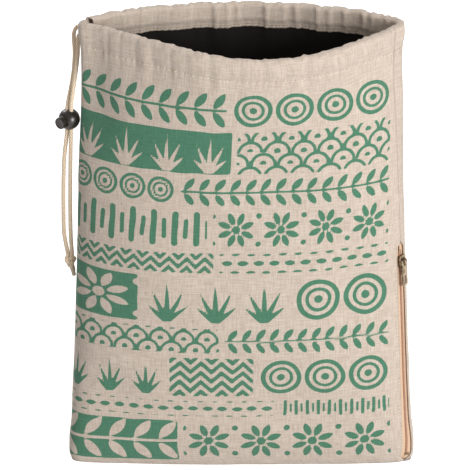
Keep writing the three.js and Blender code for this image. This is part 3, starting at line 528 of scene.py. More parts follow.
def cloth_frame(height, distance, inset):
    """For matching lists of heights, distances and depths: the points of the cloth and
    its directions across, up and outwards there."""
    h, d, depth = (np.reshape(values, (-1, 1)).astype(float)
                   for values in (height, distance, inset))
    points = cloth_point(h, d, depth)[:, 0]
    across = (cloth_point(h, d + 1, depth) - cloth_point(h, d - 1, depth))[:, 0]
    up = (cloth_point(h + 1, d, depth) - cloth_point(h - 1, d, depth))[:, 0]
    return points, unit(across), unit(up), unit(np.cross(across, up))


seam_top = cloth_point(np.array([[float(BAG_HEIGHT)]]), np.array([[0.0]]), 0)[0, 0]
print("the rim at the left side, in mm:", seam_top.round(1).tolist())

# %% [markdown]
# The front and back panels are sewn together at both sides. They part in two places: low
# on the right for the zip, and at the casing on the left to let the cord out. One smooth
# step each gives how far an edge stands off its seam line.

# %% Where the panels part


def zip_cut(height):
    """How far a panel's edge stands off the right seam line, where the zip parts them."""
    opened = rise(height, ZIP_BOTTOM, ZIP_FOOT) * (1 - rise(height, ZIP_HEAD, ZIP_TOP))
    return SEAM_GAP / 2 + (ZIP_OPENING - SEAM_GAP) / 2 * opened


def slot_cut(height):
    """The same at the left seam line, where the cord leaves the casing."""
    opened = rise(height, STITCH_HEIGHT, STITCH_HEIGHT + CASING_HEIGHT / 3)
    return SEAM_GAP / 2 + (CORD_SLOT - SEAM_GAP) / 2 * opened


def panel_span(side, height):
    """The distances along the outline at which a panel starts and ends."""
    right, girth = seams(height)
    if side == "front":
        return slot_cut(height) - SEAM_SHIFT, right - zip_cut(height)
    return right + zip_cut(height), girth - SEAM_SHIFT - slot_cut(height)


half_way_up = np.array([[BAG_HEIGHT / 2]])
for side in ("front", "back"):
    start, end = panel_span(side, half_way_up)
    print(side, "panel half way up:", round(float((end - start)[0, 0])), "mm wide")

# %% [markdown]
# A panel is one sheet of canvas, hemmed over the cord at the rim. Its rows follow the
# cloth from the bottom seam over the base, up the wall, round the rim over the cord and
# down the inner side of the casing to the stitch line. A Solidify modifier gives it the
# canvas's thickness. A cloth simulation could drape it, but the photograph fixes the
# outline so closely that a formula comes nearer.

# %% Panel sheets
RIM_ROUND = 3
FLAP_BEND = CASING_HEIGHT * 0.4
BOTTOM_SEAM_END = 3
BASE_ROWS = 10
RIM_ROWS = 12
FLAP_ROWS = 12
CASING_STITCH_HEIGHT = STITCH_HEIGHT + 1.4
HEM_BACK = 1.8
ZIP_STITCH_LINE = ZIP_OPENING / 2 + HEM_BACK + 2.0


def store(piece, name, values):
    """Keeps one number for each point of the mesh, which the material reads by name."""
    attribute = piece.data.attributes.new(name, "FLOAT", "POINT")
    attribute.data.foreach_set("value", np.float32(values).ravel())


def panel_rows(wall_rows):
    """Heights and depths of the rows from the base's edge to the end of the casing's
    inner side. Over the rim they follow a half ellipse."""
    wall = np.linspace(0, BAG_HEIGHT - RIM_ROUND, wall_rows)
    turn = np.linspace(0, np.pi, RIM_ROWS + 2)[1:-1]
    half = (FLAP_CLEAR + CANVAS) / 2
    rim_height = BAG_HEIGHT - RIM_ROUND * (1 - np.sin(turn))
    rim_inset = half * (1 - np.cos(turn))
    flap_height = np.linspace(BAG_HEIGHT - RIM_ROUND, STITCH_HEIGHT, FLAP_ROWS)
    drawn_in = rise(flap_height, STITCH_HEIGHT + LINING_TUCK, STITCH_HEIGHT + FLAP_BEND)
    flap_inset = CANVAS + FLAP_CLOSED + (FLAP_CLEAR - FLAP_CLOSED) * drawn_in
    heights = np.concatenate([wall, rim_height, flap_height])
    insets = np.concatenate([0 * wall, rim_inset, flap_inset])
    return heights[:, None], insets[:, None]


def fold_base(wall, sides, level):
    """Adds the base's rows below a wall's: straight lines from the bottom seam, at that
    level, to the wall's lowest row. The seam is a little shorter than the bag is wide,
    and its sides are -1 for the cloth in front of it and 1 for the cloth behind."""
    half = section("width", 0.0) * BAG_WIDTH / 2
    x = wall[0, :, 0] * (1 - BOTTOM_SEAM_END / half)
    y = SEAM_PLANE + sides * SEAM_GAP / 2
    seam = np.stack([x, y + 0 * x, level + 0 * x], axis=-1)
    fold = np.linspace(0, 1, BASE_ROWS, endpoint=False)[:, None, None]
    return np.concatenate([seam[None] * (1 - fold) + wall[:1] * fold, wall])


def panel_sheet(name, side, wall_rows, columns):
    """The panel's sheet, its points, and for each point the millimetres across it from
    its first edge."""
    share = np.linspace(0, 1, columns)
    heights, insets = panel_rows(wall_rows)
    start, end = panel_span(side, heights)
    hem = HEM_BACK * rise(zip_cut(heights), 0, ZIP_OPENING / 2)
    start, end = (start, end - hem) if side == "front" else (start + hem, end)
    distance = start + (end - start) * share
    wall = cloth_point(heights, distance, insets)
    points = fold_base(wall, -1 if side == "front" else 1, 0.0)
    across = distance - start
    across = np.concatenate([np.repeat(across[:1], BASE_ROWS, axis=0), across])
    steps = np.linalg.norm(np.diff(points, axis=0), axis=2).mean(axis=1)
    upward = np.concatenate([[0], np.cumsum(steps)])
    uv = np.stack(np.broadcast_arrays(across, upward[:, None]), axis=-1) * MM
    faces = grid_faces(*points.shape[:2])
    panel = thicken(make_piece(name, points, faces, corner_uv(uv)), CANVAS)
    from_zip = zip_cut(heights) + hem + (end - distance if side == "front" else distance - start)
    beside_zip = np.abs(from_zip - ZIP_STITCH_LINE) + np.maximum(heights - ZIP_TOP, 0)
    from_stitches = np.minimum(beside_zip, np.abs(heights - CASING_STITCH_HEIGHT))
    base_far = np.full((BASE_ROWS, columns), BAG_HEIGHT)
    store(panel, "stitch_mm", np.concatenate([base_far, from_stitches]))
    print(name, "is cut", round(float(across.max())), "by", round(float(upward[-1])), "mm")
    return panel, points, across


FRONT_WALL_ROWS, FRONT_COLUMNS = 226, 180
BACK_WALL_ROWS, BACK_COLUMNS = 110, 230
front_panel, front_points, front_across = panel_sheet(
    "front_panel_canvas", "front", FRONT_WALL_ROWS, FRONT_COLUMNS)
back_panel = panel_sheet("back_panel_canvas", "back", BACK_WALL_ROWS, BACK_COLUMNS)[0]

# %% [markdown]
# The front carries a green block print. It is made of plain garden motifs in bands and
# blocks: sprigs, seeds, petals, grasses, furrows. Each motif is a distance formula: for
# every point it gives the millimetres to the motif's edge, below zero inside. The panel
# stores the distance, and its material inks what lies inside.

# %% Motifs as distances to their edge


def cell(value, pitch):
    """Repeats a value between minus and plus half a pitch."""
    return (value / pitch - np.floor(value / pitch) - 0.5) * pitch


def turned(x, y, degrees):
    """The same places, measured along axes that are turned by an angle."""
    a = math.radians(degrees)
    return x * math.cos(a) + y * math.sin(a), y * math.cos(a) - x * math.sin(a)


def leaf(x, y, length, width):
    """A pointed leaf along x: what two equal circles share."""
    radius = (length**2 + width**2) / (4 * width)
    shift = radius - width / 2
    return np.maximum(np.hypot(x, y + shift), np.hypot(x, y - shift)) - radius


def pill(x, y, length, width):
    """A bar with round ends along x."""
    beyond = np.maximum(np.abs(x) - (length - width) / 2, 0)
    return np.hypot(beyond, y) - width / 2


def ring(x, y, radius, width):
    """A band about a circle: how far a place's distance from the centre is off the radius."""
    return np.abs(np.hypot(x, y) - radius) - width / 2


def sprig(x, y, size):
    """A stem along x with pairs of leaves that lean forward."""
    here = cell(x, 0.46 * size)
    leaves = [leaf(*turned(here - 0.04 * size, y - sign * 0.25 * size, sign * 52),
                   0.5 * size, 0.2 * size) for sign in (-1, 1)]
    return np.minimum.reduce([*leaves, np.abs(y) - 0.03 * size])


def petals(x, y, size):
    """Round flowers in a row: petals about a centre, with a dot between two flowers."""
    here = cell(x, 1.15 * size)
    angle = cell(np.arctan2(y, here), 2 * np.pi / 8)
    radius = np.hypot(here, y)
    petal = leaf(radius * np.cos(angle) - 0.31 * size, radius * np.sin(angle),
                 0.36 * size, 0.155 * size)
    between = cell(x + 0.575 * size, 1.15 * size)
    dots = np.hypot(between, np.abs(y) - 0.36 * size) - 0.07 * size
    return np.minimum.reduce([petal, radius - 0.1 * size, dots])


def grasses(x, y, size):
    """Tufts of five blades that fan out from the ground."""
    here = cell(x, 0.9 * size)
    blades = [leaf(*turned(here, y + 0.46 * size, 90 - lean), 1.7 * reach * size, 0.1 * size)
              for lean, reach in ((0, 1.0), (24, 0.86), (-24, 0.86), (48, 0.62), (-48, 0.62))]
    return np.maximum(np.minimum.reduce(blades), -(y + 0.46 * size))


def seeds(x, y, size):
    """Staggered grains in rows."""
    row = 0.34 * size
    odd = np.floor(y / row + 0.5) % 2
    here = cell(x + odd * 0.24 * size, 0.48 * size)
    return leaf(here, cell(y + row / 2, row), 0.36 * size, 0.17 * size)


def furrows(x, y, size):
    """Zigzag furrows one above the other."""
    wave = np.abs(cell(x, 0.5 * size))
    return (np.abs(cell(y + wave, 0.26 * size)) - 0.065 * size) * 0.71


def bars(x, y, size):
    """Upright bars with round ends, every other one short."""
    tall = pill(y, cell(x, 0.5 * size), 0.9 * size, 0.14 * size)
    short = pill(y, cell(x + 0.25 * size, 0.5 * size), 0.52 * size, 0.1 * size)
    return np.minimum(tall, short)


def rings(x, y, size):
    """Round slices side by side: two rings about a dot."""
    here = cell(x, size)
    return np.minimum.reduce([ring(here, y, 0.41 * size, 0.1 * size),
                              ring(here, y, 0.24 * size, 0.07 * size),
                              np.hypot(here, y) - 0.09 * size])


def scales(x, y, size):
    """Overlapping arches, as tiles lie on a roof."""
    row = 0.33 * size
    index = np.floor(y / row)
    here = cell(x + (index % 2) * 0.33 * size, 0.66 * size)
    rise_up = y - index * row
    return np.minimum(ring(here, rise_up, 0.29 * size, 0.075 * size),
                      np.hypot(here, rise_up - 0.04 * size) - 0.08 * size)


print("a leaf's tip and middle:", leaf(np.array([5.0, 0.0]), 0, 10, 4).round(2).tolist())

# %% [markdown]
# The layout is a list of rows from the bottom up. Each block of a row has its share of
# the width, its motif, the motif's size and whether the motif is left bare in an inked
# block. The blocks keep a gap between them, and a slow wobble makes the edges hand-cut.
# A motif is stretched a little along its row, so that a whole number of copies fits.

# %% The block print
PRINT_LEFT = 5
PRINT_RIGHT = 282
PRINT_BOTTOM = 5
BLOCK_GAP = 4.5
BLOCK_CORNER = 1.5
STROKE_SPREAD = 0.1
# How far each motif is from its next copy, as a share of its size
PITCH = {sprig: 0.46, petals: 1.15, grasses: 0.9, seeds: 0.48, furrows: 0.5, bars: 0.5,
         rings: 1.0, scales: 0.66}
# Rows: height, then blocks of (share, motif, size, bare)
PRINT_ROWS = [
    (42, [(0.38, sprig, 42, True), (0.62, petals, 36, False)]),
    (17, [(0.66, seeds, 24, False), (0.34, bars, 18, False)]),
    (38, [(0.34, grasses, 38, False), (0.26, furrows, 34, False), (0.4, rings, 34, False)]),
    (25, [(0.5, scales, 30, False), (0.5, sprig, 25, False)]),
    (44, [(0.26, petals, 41, True), (0.44, grasses, 43, False), (0.3, rings, 39, False)]),
    (20, [(0.48, furrows, 30, False), (0.52, seeds, 26, False)]),
    (36, [(0.46, bars, 34, False), (0.54, petals, 34, False)]),
    (26, [(0.36, rings, 24, False), (0.64, sprig, 27, False)]),
    (40, [(0.52, grasses, 39, True), (0.48, scales, 34, False)]),
    (33, [(0.5, sprig, 34, False), (0.5, rings, 31, False)]),
]


def block_print(x, y):
    """Distance in millimetres to the nearest inked edge, below zero in the ink."""
    x = x + 0.5 * soft_noise(x, y, 12, 21)
    y = y + 0.5 * soft_noise(x, y, 12, 22)
    inked = np.full_like(x, BAG_HEIGHT)
    bottom = PRINT_BOTTOM
    for height, blocks in PRINT_ROWS:
        left = PRINT_LEFT
        for share, motif, size, bare in blocks:
            width = share * (PRINT_RIGHT - PRINT_LEFT)
            here_x = x - left - width / 2
            here_y = y - bottom - height / 2
            over_x = np.abs(here_x) - (width - BLOCK_GAP) / 2
            over_y = np.abs(here_y) - (height - BLOCK_GAP / 2) / 2
            corner = np.hypot(np.maximum(over_x + BLOCK_CORNER, 0),
                              np.maximum(over_y + BLOCK_CORNER, 0)) - BLOCK_CORNER
            block = np.maximum(corner, np.maximum(over_x, over_y))
            pitch = PITCH[motif] * size
            copies = round((width - BLOCK_GAP) / pitch)
            along = here_x * copies * pitch / (width - BLOCK_GAP) + (copies % 2) * pitch / 2
            figure = motif(along, here_y, size) - (0 if bare else STROKE_SPREAD)
            inked = np.minimum(inked, np.maximum(block, -figure if bare else figure))
            left += width
        bottom += height + BLOCK_GAP / 2
    print("print reaches up to", bottom, "mm")
    return inked


print_height = np.broadcast_to(front_points[..., 2], front_across.shape)
on_wall = np.arange(len(front_points)) < BASE_ROWS + FRONT_WALL_ROWS
ink_distance = np.where(on_wall[:, None], block_print(front_across, print_height), BAG_HEIGHT)
store(front_panel, "print_mm", ink_distance)
print("inked share of the panel:", round(float((ink_distance < 0).mean()), 2))

# %% [markdown]
# The lining is black cloth round the inside, slit at the right seam where the zip opens.
# It could be a second object scaled down a little, but then it would cut through the
# canvas at each fold. So it asks the same formula for places a little further in.

# %% Lining
LINING_ROWS = 120
LINING_COLUMNS = 240
TAPE_WIDTH = 8.5
TAPE_INNER = TAPE_OUTER + TAPE_THICKNESS
ZIP_SIDE = TAPE_WIDTH - 2


def lining_sheet():
    """The lining's sheet: rows from the bottom seam up to the casing, columns from the zip
    over the back and the front to the zip again. Beside the zip it stands further in."""
    heights = np.linspace(LINING_OUTER, STITCH_HEIGHT + LINING_TUCK, LINING_ROWS)[:, None]
    right, girth = seams(heights)
    slit = np.where(zip_cut(heights) > SEAM_GAP, ZIP_SIDE, SEAM_GAP / 2)
    share = np.linspace(0, 1, LINING_COLUMNS)
    distance = right + slit + (girth - 2 * slit) * share
    from_zip = np.minimum(distance - right, right + girth - distance)
    near_zip = ((1 - rise(from_zip, TAPE_WIDTH, 4 * TAPE_WIDTH))
                * (1 - rise(heights, ZIP_TOP, 1.3 * ZIP_TOP)))
    inset = LINING_OUTER + (TAPE_INNER - CANVAS + SEAM_GAP) * near_zip
    wall = cloth_point(heights, distance, inset)
    points = fold_base(wall, np.sign(wall[0, :, 1] - SEAM_PLANE), LINING_OUTER)
    steps = np.linalg.norm(np.diff(points, axis=0), axis=2).mean(axis=1)
    upward = np.concatenate([[0], np.cumsum(steps)])[:, None]
    across = np.concatenate([np.repeat(distance[:1], BASE_ROWS, axis=0), distance])
    uv = np.stack(np.broadcast_arrays(across, upward), axis=-1) * MM
    faces = grid_faces(*points.shape[:2])
    print("lining is cut", round(float(girth.max())), "by", round(float(upward[-1, 0])), "mm")
    return thicken(make_piece("lining_cloth", points, faces, corner_uv(uv)), LINING)


lining = lining_sheet()

# %% [markdown]
# Inside the casings lies the rest of the drawcord. It runs from one end at the left
# corner round the front, past the right seam, and back round the rear to the other. Little
# of it is seen, but it is what fills the casing, so it is a full tube with fewer sides.

# %% Drawcord in the casing
CHANNEL_HEIGHT = (STITCH_HEIGHT + FLAP_BEND + BAG_HEIGHT - RIM_ROUND) / 2
STRAND_STEP = (CORD_DIAMETER + 3 * SEAM_GAP) / 2
RISE_SHARE = 0.12
HELD_SHARE = 0.02
HELD_STATIONS = 40
HELD_STEP = 2
HELD_SIDES = 12


def held_cord():
    """A tube through stations along both casings, whose ends rise or sink to their exits."""
    share = np.linspace(HELD_SHARE, 1 - HELD_SHARE, HELD_STATIONS)
    stations = []
    for side, lift in (("front", 1 - rise(share, 0, RISE_SHARE)),
                       ("back", -rise(share, 1 - RISE_SHARE, 1))):
        height = np.full((len(share), 1), CHANNEL_HEIGHT)
        start, end = panel_span(side, height)
        distance = start + (end - start) * share[:, None]
        run = cloth_point(height, distance, np.full_like(height, CORD_INSET))[:, 0]
        run[:, 2] += STRAND_STEP * lift
        stations.append(run)
    first = np.array(FRONT_END_ROUTE[:1]) + (0.4, -0.3, 0.5)
    last = np.array(BACK_END_ROUTE[:1]) + (0.2, 0, 0.7)
    path = smooth_path(np.concatenate([first, *stations, last]), HELD_STEP)
    print("cord in the casings:", round(path_length(path)), "mm")
    return tube("drawcord_braid", path, CORD_DIAMETER / 2, (0, 0, 1), HELD_SIDES)


drawcord = held_cord()

# %% [markdown]
# Sewn lines hold the casing and run up both sides of the zip. An array modifier along a
# curve could lay the stitches, but it would not lie them flat on the folds. So each stitch
# is a short lozenge of thread, placed and turned by the cloth's own directions. All the
# stitches of a line are one mesh: one round shape, added to each stitch's place.

# %% Stitches
STITCH_LENGTH = 2.5
STITCH_PITCH = 3.1
THREAD_RADIUS = 0.32
STITCH_RINGS = 7
STITCH_SIDES = 6


def stitch_mesh(name, centres, along, side, out):
    """One lozenge for each centre: along it the cosine of a turn, widest in the middle,
    round in its section."""
    turn = np.linspace(0, np.pi, STITCH_RINGS)[:, None]
    round_turn = np.linspace(0, 2 * np.pi, STITCH_SIDES, endpoint=False)[None, :]
    length = STITCH_LENGTH / 2 * np.cos(turn) + 0 * round_turn
    width = THREAD_RADIUS * np.sin(turn) ** 0.6
    shape = (length[None, ..., None] * along[:, None, None]
             + (width * np.cos(round_turn))[None, ..., None] * side[:, None, None]
             + (width * np.sin(round_turn))[None, ..., None] * out[:, None, None])
    points = centres[:, None, None] + shape
    faces = grid_faces(STITCH_RINGS, STITCH_SIDES, close_columns=True)
    starts = np.arange(len(centres))[:, None, None] * STITCH_RINGS * STITCH_SIDES
    return close_up(make_piece(name, points, (faces[None] + starts).reshape(-1, 4)))


def casing_stitches(name, side, inset):
    """Stitches through both sides of the casing, seen on the side at that depth."""
    height = np.array([[CASING_STITCH_HEIGHT]])
    start, end = (float(edge[0, 0]) for edge in panel_span(side, height))
    distance = np.arange(start + 2, end - 2, STITCH_PITCH)
    depth = np.full_like(distance, inset)
    heights = np.full_like(distance, CASING_STITCH_HEIGHT)
    points, across, up, out = cloth_frame(heights, distance, depth)
    return stitch_mesh(name, points, across, up, out)


def zip_stitches(name, side):
    """Stitches up the panel beside the zip."""
    heights = np.arange(ZIP_FOOT, ZIP_TOP, STITCH_PITCH)
    sign = -1 if side == "front" else 1
    edge = seams(heights[:, None])[0][:, 0] + sign * ZIP_STITCH_LINE
    points, across, up, out = cloth_frame(heights, edge, np.zeros_like(heights))
    return stitch_mesh(name, points, up, across, out)


stitches = {
    "front": [casing_stitches("front_casing_stitches", "front", 0.05),
              casing_stitches("front_flap_stitches", "front", FLAP_CLOSED + CANVAS),
              zip_stitches("front_zip_stitches", "front")],
    "back": [casing_stitches("back_casing_stitches", "back", 0.05),
             casing_stitches("back_flap_stitches", "back", FLAP_CLOSED + CANVAS),
             zip_stitches("back_zip_stitches", "back")],
}
print("stitch meshes:", sum(len(group) for group in stitches.values()))

# %% [markdown]
# The zip is a coil zip: each half is a plastic wire wound round and sewn to its tape. A
# row of little teeth could stand in for it, but the wire is easy as a helix, and below the
# slider the loops of one half then lie between those of the other, as real ones do.

# %% Zip tapes and coils
SLIDER_HEIGHT = 174
SLIDER_LENGTH = 11
COIL_WIDTH = 1.1
COIL_THICKNESS = 1.1
COIL_PITCH = 1.5
COIL_WIRE = 0.24
COIL_MESH = 0.25
COIL_TURN_STEPS = 12
COIL_SIDES = 6
POST_HALF = 0.7
PARTING_LENGTH = 6
TAPE_ROWS = 90
TAPE_COLUMNS = 9


def coil_edge(height):
    """How far a coil's edge stands off the seam line: it parts above the slider."""
    parted = rise(height, SLIDER_HEIGHT - PARTING_LENGTH, SLIDER_HEIGHT + SLIDER_LENGTH / 2)
    return SEAM_GAP / 2 + (POST_HALF + SEAM_GAP / 2) * parted


def coil(name, sign):
    """A wire along a helix up the seam, half a turn ahead on one side of it."""
    height = np.arange(ZIP_FOOT + 1, ZIP_HEAD - 1, COIL_PITCH / COIL_TURN_STEPS)
    turn = height * 2 * np.pi / COIL_PITCH + (0 if sign < 0 else np.pi)
    half = COIL_WIDTH / 2 - COIL_WIRE
    across = coil_edge(height) - COIL_MESH + COIL_WIDTH / 2 + half * np.cos(turn)
    middle = TAPE_OUTER - SEAM_GAP - COIL_THICKNESS / 2
    inset = middle + (COIL_THICKNESS / 2 - COIL_WIRE) * np.sin(turn)
    seam = seams(height[:, None])[0]
    path = cloth_point(height[:, None], seam + sign * across[:, None], inset[:, None])[:, 0]
    return tube(name, path, COIL_WIRE, (0, 0, 1), COIL_SIDES)


def tape(name, side):
    """A woven tape from the coil's edge to under the canvas."""
    sign = -1 if side == "front" else 1
    heights = np.linspace(ZIP_BOTTOM + SEAM_GAP, ZIP_TOP, TAPE_ROWS)[:, None]
    near = coil_edge(heights)
    share = np.linspace(0, 1, TAPE_COLUMNS)[None, :]
    across = near + (TAPE_WIDTH - near) * share
    points = cloth_point(heights, seams(heights)[0] + sign * across, TAPE_OUTER + 0 * across)
    uv = np.stack(np.broadcast_arrays(across, heights), axis=-1) * MM
    if sign < 0:
        points = points[:, ::-1]
        uv = uv[:, ::-1]
    faces = grid_faces(*points.shape[:2])
    return thicken(make_piece(name, points, faces, corner_uv(uv)), TAPE_THICKNESS)


coil_front = coil("zip_teeth_front", -1)
coil_back = coil("zip_teeth_back", 1)
tape_front = tape("zip_tape_front_weave", "front")
tape_back = tape("zip_tape_back_weave", "back")
print("coil turns:", round((ZIP_HEAD - ZIP_FOOT) / COIL_PITCH))

# %% [markdown]
# The slider, its puller and the bottom stop are cast and stamped brass. Their shapes are
# right in the CAD model, so making them anew would gain nothing. Each is copied, its
# doubled points are merged, and a Bevel modifier rounds its edges, because metal that
# hands touch has no sharp ones and the rounding catches the light.

# %% Brass parts
BRASS_BEVEL = 0.22


def softened(name, node, width, sharp_from=35):
    """A copy of a CAD node with flat faces joined and all its edges rounded."""
    copy = bpy.data.objects.new(name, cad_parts[node].data.copy())
    bpy.context.collection.objects.link(copy)
    shell = bmesh.new()
    shell.from_mesh(copy.data)
    bmesh.ops.remove_doubles(shell, verts=shell.verts, dist=0.005 * MM)
    bmesh.ops.dissolve_limit(shell, angle_limit=math.radians(1), verts=shell.verts,
                             edges=shell.edges)
    shell.to_mesh(copy.data)
    shell.free()
    copy.data.materials.clear()
    copy.data.shade_smooth()
    copy.data.set_sharp_from_angle(angle=math.radians(sharp_from))
    edge = copy.modifiers.new("Edges", "BEVEL")
    edge.width = width * MM
    edge.segments = 3
    edge.limit_method = "ANGLE"
    edge.angle_limit = math.radians(sharp_from)
    edge.harden_normals = True
    return copy


slider = softened("zip_slider_cast", "zip_slider", BRASS_BEVEL)
puller = softened("zip_puller_plate", "zip_puller", BRASS_BEVEL)
bottom_stop = softened("zip_stop_clip", "zip_stop_bottom", BRASS_BEVEL / 2)
print("faces before rounding:", [len(part.data.polygons) for part in (slider, puller, bottom_stop)])

# %% [markdown]
# The cord lock is a plastic ball with an upright slot for both strands. A ball with two
# Boolean cuts would do, but the slot's rim is rounded, and a grid can follow it: over the
# outside of the ball from the slot's upper edge to the lower one, and back up the wall of
# the slot. Only the plain bore for the plunger is cut with a Boolean.

# %% Ball lock
BALL_RADIUS = 8.8
SLOT_HALF_WIDTH = CORD_DIAMETER / 2 + SEAM_GAP
SLOT_HALF_LENGTH = (4 + CORD_DIAMETER) / 2 + SEAM_GAP
SLOT_EDGE = 0.5
PLUNGER_RADIUS = 4.9
PLUNGER_REACH = 12.2
PLUNGER_TRAVEL = 2.6
PLUNGER_END = -(SLOT_HALF_WIDTH + 1)
BORE_DEPTH = PLUNGER_END - PLUNGER_TRAVEL - SEAM_GAP
BALL_ROWS = 44
BALL_COLUMNS = 72
PLUNGER_COLUMNS = 64
LOCK_CENTRE = np.array([-137.9, 9, 296])
LOCK_TURN = math.radians(-130)
LOCK_AXES = np.array([
    [math.cos(LOCK_TURN), math.sin(LOCK_TURN), 0],
    [-math.sin(LOCK_TURN), math.cos(LOCK_TURN), 0],
    [0, 0, 1],
])


def in_lock(points):
    """From the lock's own frame, with x along the plunger, to the bag's."""
    return points @ LOCK_AXES + LOCK_CENTRE


def ball_points(rows, columns):
    """Outside: the ball's polar angle runs from the slot's edge at the top to the one at
    the bottom. Inside: the slot's oblong radius, from the bottom up."""
    turn = np.linspace(0, 2 * np.pi, columns, endpoint=False)[None, :]
    slot = (np.abs(np.cos(turn) / SLOT_HALF_WIDTH) ** 4
            + np.abs(np.sin(turn) / SLOT_HALF_LENGTH) ** 4) ** -0.25
    polar = np.arcsin((slot + SLOT_EDGE) / BALL_RADIUS)
    share = np.linspace(0, 1, rows)[:, None]
    theta = polar + (np.pi - 2 * polar) * share
    outside = BALL_RADIUS * np.stack(
        [np.sin(theta) * np.cos(turn), np.sin(theta) * np.sin(turn), np.cos(theta) + 0 * turn], -1)
    top = BALL_RADIUS * np.cos(polar)
    # Columns: level from -1 to 1, share of the edge's width, share of its depth
    rim = [(-1, 0.3, 0.12), (-1, 0.05, 0.45)] + [(level, 0, 1) for level in (-1, -0.5, 0, 0.5, 1)]
    rim += [(1, 0.05, 0.45), (1, 0.3, 0.12)]
    level, spread, sunk = (np.array(column)[:, None] for column in zip(*rim))
    radius = slot + SLOT_EDGE * spread
    z = level * (top - SLOT_EDGE * sunk)
    inside = np.stack([radius * np.cos(turn), radius * np.sin(turn), z], axis=-1)
    return np.concatenate([outside, inside])


def cylinder_points(radius, start, end, columns):
    """A closed drum along x whose end rings shrink to points."""
    turn = np.linspace(0, 2 * np.pi, columns, endpoint=False)[None, :]
    x = np.array([start, start, end, end])[:, None] + 0 * turn
    r = radius * np.array([0, 1, 1, 0])[:, None]
    return np.stack([x, r * np.cos(turn), r * np.sin(turn)], axis=-1)


def cut_out(piece, cutter):
    """Takes the cutter's room out of a piece, and the cutter away."""
    tool = piece.modifiers.new("Cut", "BOOLEAN")
    tool.object = cutter
    tool.operation = "DIFFERENCE"
    tool.solver = "EXACT"
    seen = piece.evaluated_get(bpy.context.evaluated_depsgraph_get())
    mesh = bpy.data.meshes.new_from_object(seen)
    piece.modifiers.clear()
    piece.data = mesh
    bpy.data.objects.remove(cutter)
    piece.data.shade_smooth()
    piece.data.set_sharp_from_angle(angle=math.radians(40))


ball = ball_points(BALL_ROWS, BALL_COLUMNS)
lock_ball = close_up(make_piece(
    "cord_lock_ball", in_lock(ball), grid_faces(*ball.shape[:2], True, True)))
bore = cylinder_points(PLUNGER_RADIUS + SEAM_GAP, BORE_DEPTH, 2 * BALL_RADIUS, PLUNGER_COLUMNS)
cut_out(lock_ball, close_up(make_piece(
    "bore_cutter", in_lock(bore), grid_faces(*bore.shape[:2], close_columns=True))))
print("ball faces:", len(lock_ball.data.polygons))

# %% [markdown]
# The plunger is the button that a thumb presses to free the cord. It is turned from a
# profile, as on a lathe, with a soft rim and a shallow dish at its end. A slot through it
# lets the strands pass, and leaves them room when it is pressed in.

# %% Plunger
PLUNGER_PROFILE = [
    (PLUNGER_END, 0), (PLUNGER_END, 0.92), (PLUNGER_END + 0.4, 1), (0, 1), (PLUNGER_REACH - 0.9, 1),
    (PLUNGER_REACH - 0.35, 0.97), (PLUNGER_REACH - 0.05, 0.88), (PLUNGER_REACH, 0.78),
    (PLUNGER_REACH - 0.08, 0.7), (PLUNGER_REACH - 0.25, 0.6), (PLUNGER_REACH - 0.3, 0.3),
    (PLUNGER_REACH - 0.3, 0),
]


def plunger_points(columns):
    """The profile, of places along x and shares of the radius, turned round x."""
    x, share = np.array(PLUNGER_PROFILE).T[:, :, None]
    turn = np.linspace(0, 2 * np.pi, columns, endpoint=False)[None, :]
    radius = PLUNGER_RADIUS * share
    return np.stack([x + 0 * turn, radius * np.cos(turn), radius * np.sin(turn)], axis=-1)


stem = plunger_points(PLUNGER_COLUMNS)
lock_plunger = close_up(make_piece(
    "cord_lock_button", in_lock(stem), grid_faces(*stem.shape[:2], close_columns=True)))
SLOT_CORNERS = np.array([
    (x, y, z) for x in (-SLOT_HALF_WIDTH, SLOT_HALF_WIDTH + PLUNGER_TRAVEL)
    for y in (-SLOT_HALF_LENGTH, SLOT_HALF_LENGTH) for z in (-BALL_RADIUS, BALL_RADIUS)])
SLOT_SIDES = np.array([(0, 1, 3, 2), (4, 6, 7, 5), (0, 4, 5, 1), (2, 3, 7, 6), (0, 2, 6, 4),
                       (1, 5, 7, 3)])
cut_out(lock_plunger, close_up(make_piece("slot_cutter", in_lock(SLOT_CORNERS), SLOT_SIDES)))
print("plunger faces:", len(lock_plunger.data.polygons))

# %% [markdown]
# Both strands end in one overhand knot with short tails. A lump would do from afar, but a
# knot is known by its loops. Drawn tight it looks like a trefoil, whose path goes twice
# round while it weaves in and out three times, and that path has a short formula.

# %% Knot
KNOT_CENTRE = np.array([-137.4, 9, 170.9])
KNOT_TUBE = 1.68
KNOT_SIZE = (1.15, 1.3, 1.55)
KNOT_STEPS = 160
KNOT_SIDES = 16
TAILS = [
    [(-137.2, 8.4, 168.5), (-136.2, 8.2, 165), (-135.1, 8.0, 161.5), (-134.4, 7.9, 158)],
    [(-137.0, 11.0, 169), (-136.1, 11.6, 166), (-135.3, 12.0, 163), (-134.8, 12.2, 160)],
]


def knot_path():
    """The trefoil. Each coordinate is a sum of sines or cosines of one, two or three
    times the turn."""
    turn = np.linspace(0, 2 * np.pi, KNOT_STEPS + 1)
    x = np.sin(turn) + 2 * np.sin(2 * turn)
    y = np.sin(3 * turn)
    z = np.cos(turn) - 2 * np.cos(2 * turn)
    return KNOT_CENTRE + np.stack([x, y, z], axis=1) * KNOT_SIZE


def join(name, pieces):
    """One mesh from several pieces."""
    shell = bmesh.new()
    for piece in pieces:
        shell.from_mesh(piece.data)
        bpy.data.objects.remove(piece)
    mesh = bpy.data.meshes.new(name)
    shell.to_mesh(mesh)
    shell.free()
    joined = bpy.data.objects.new(name, mesh)
    bpy.context.collection.objects.link(joined)
    return joined


knot = join("cord_knot_braid", [
    tube("loop", knot_path(), KNOT_TUBE, (0, 1, 0), KNOT_SIDES),
    *[tube("tail", smooth_path(tail, 1), CORD_DIAMETER / 2, (0, 1, 0), KNOT_SIDES)
      for tail in TAILS]])
print("cord in the knot's loops:", round(path_length(knot_path())), "mm")

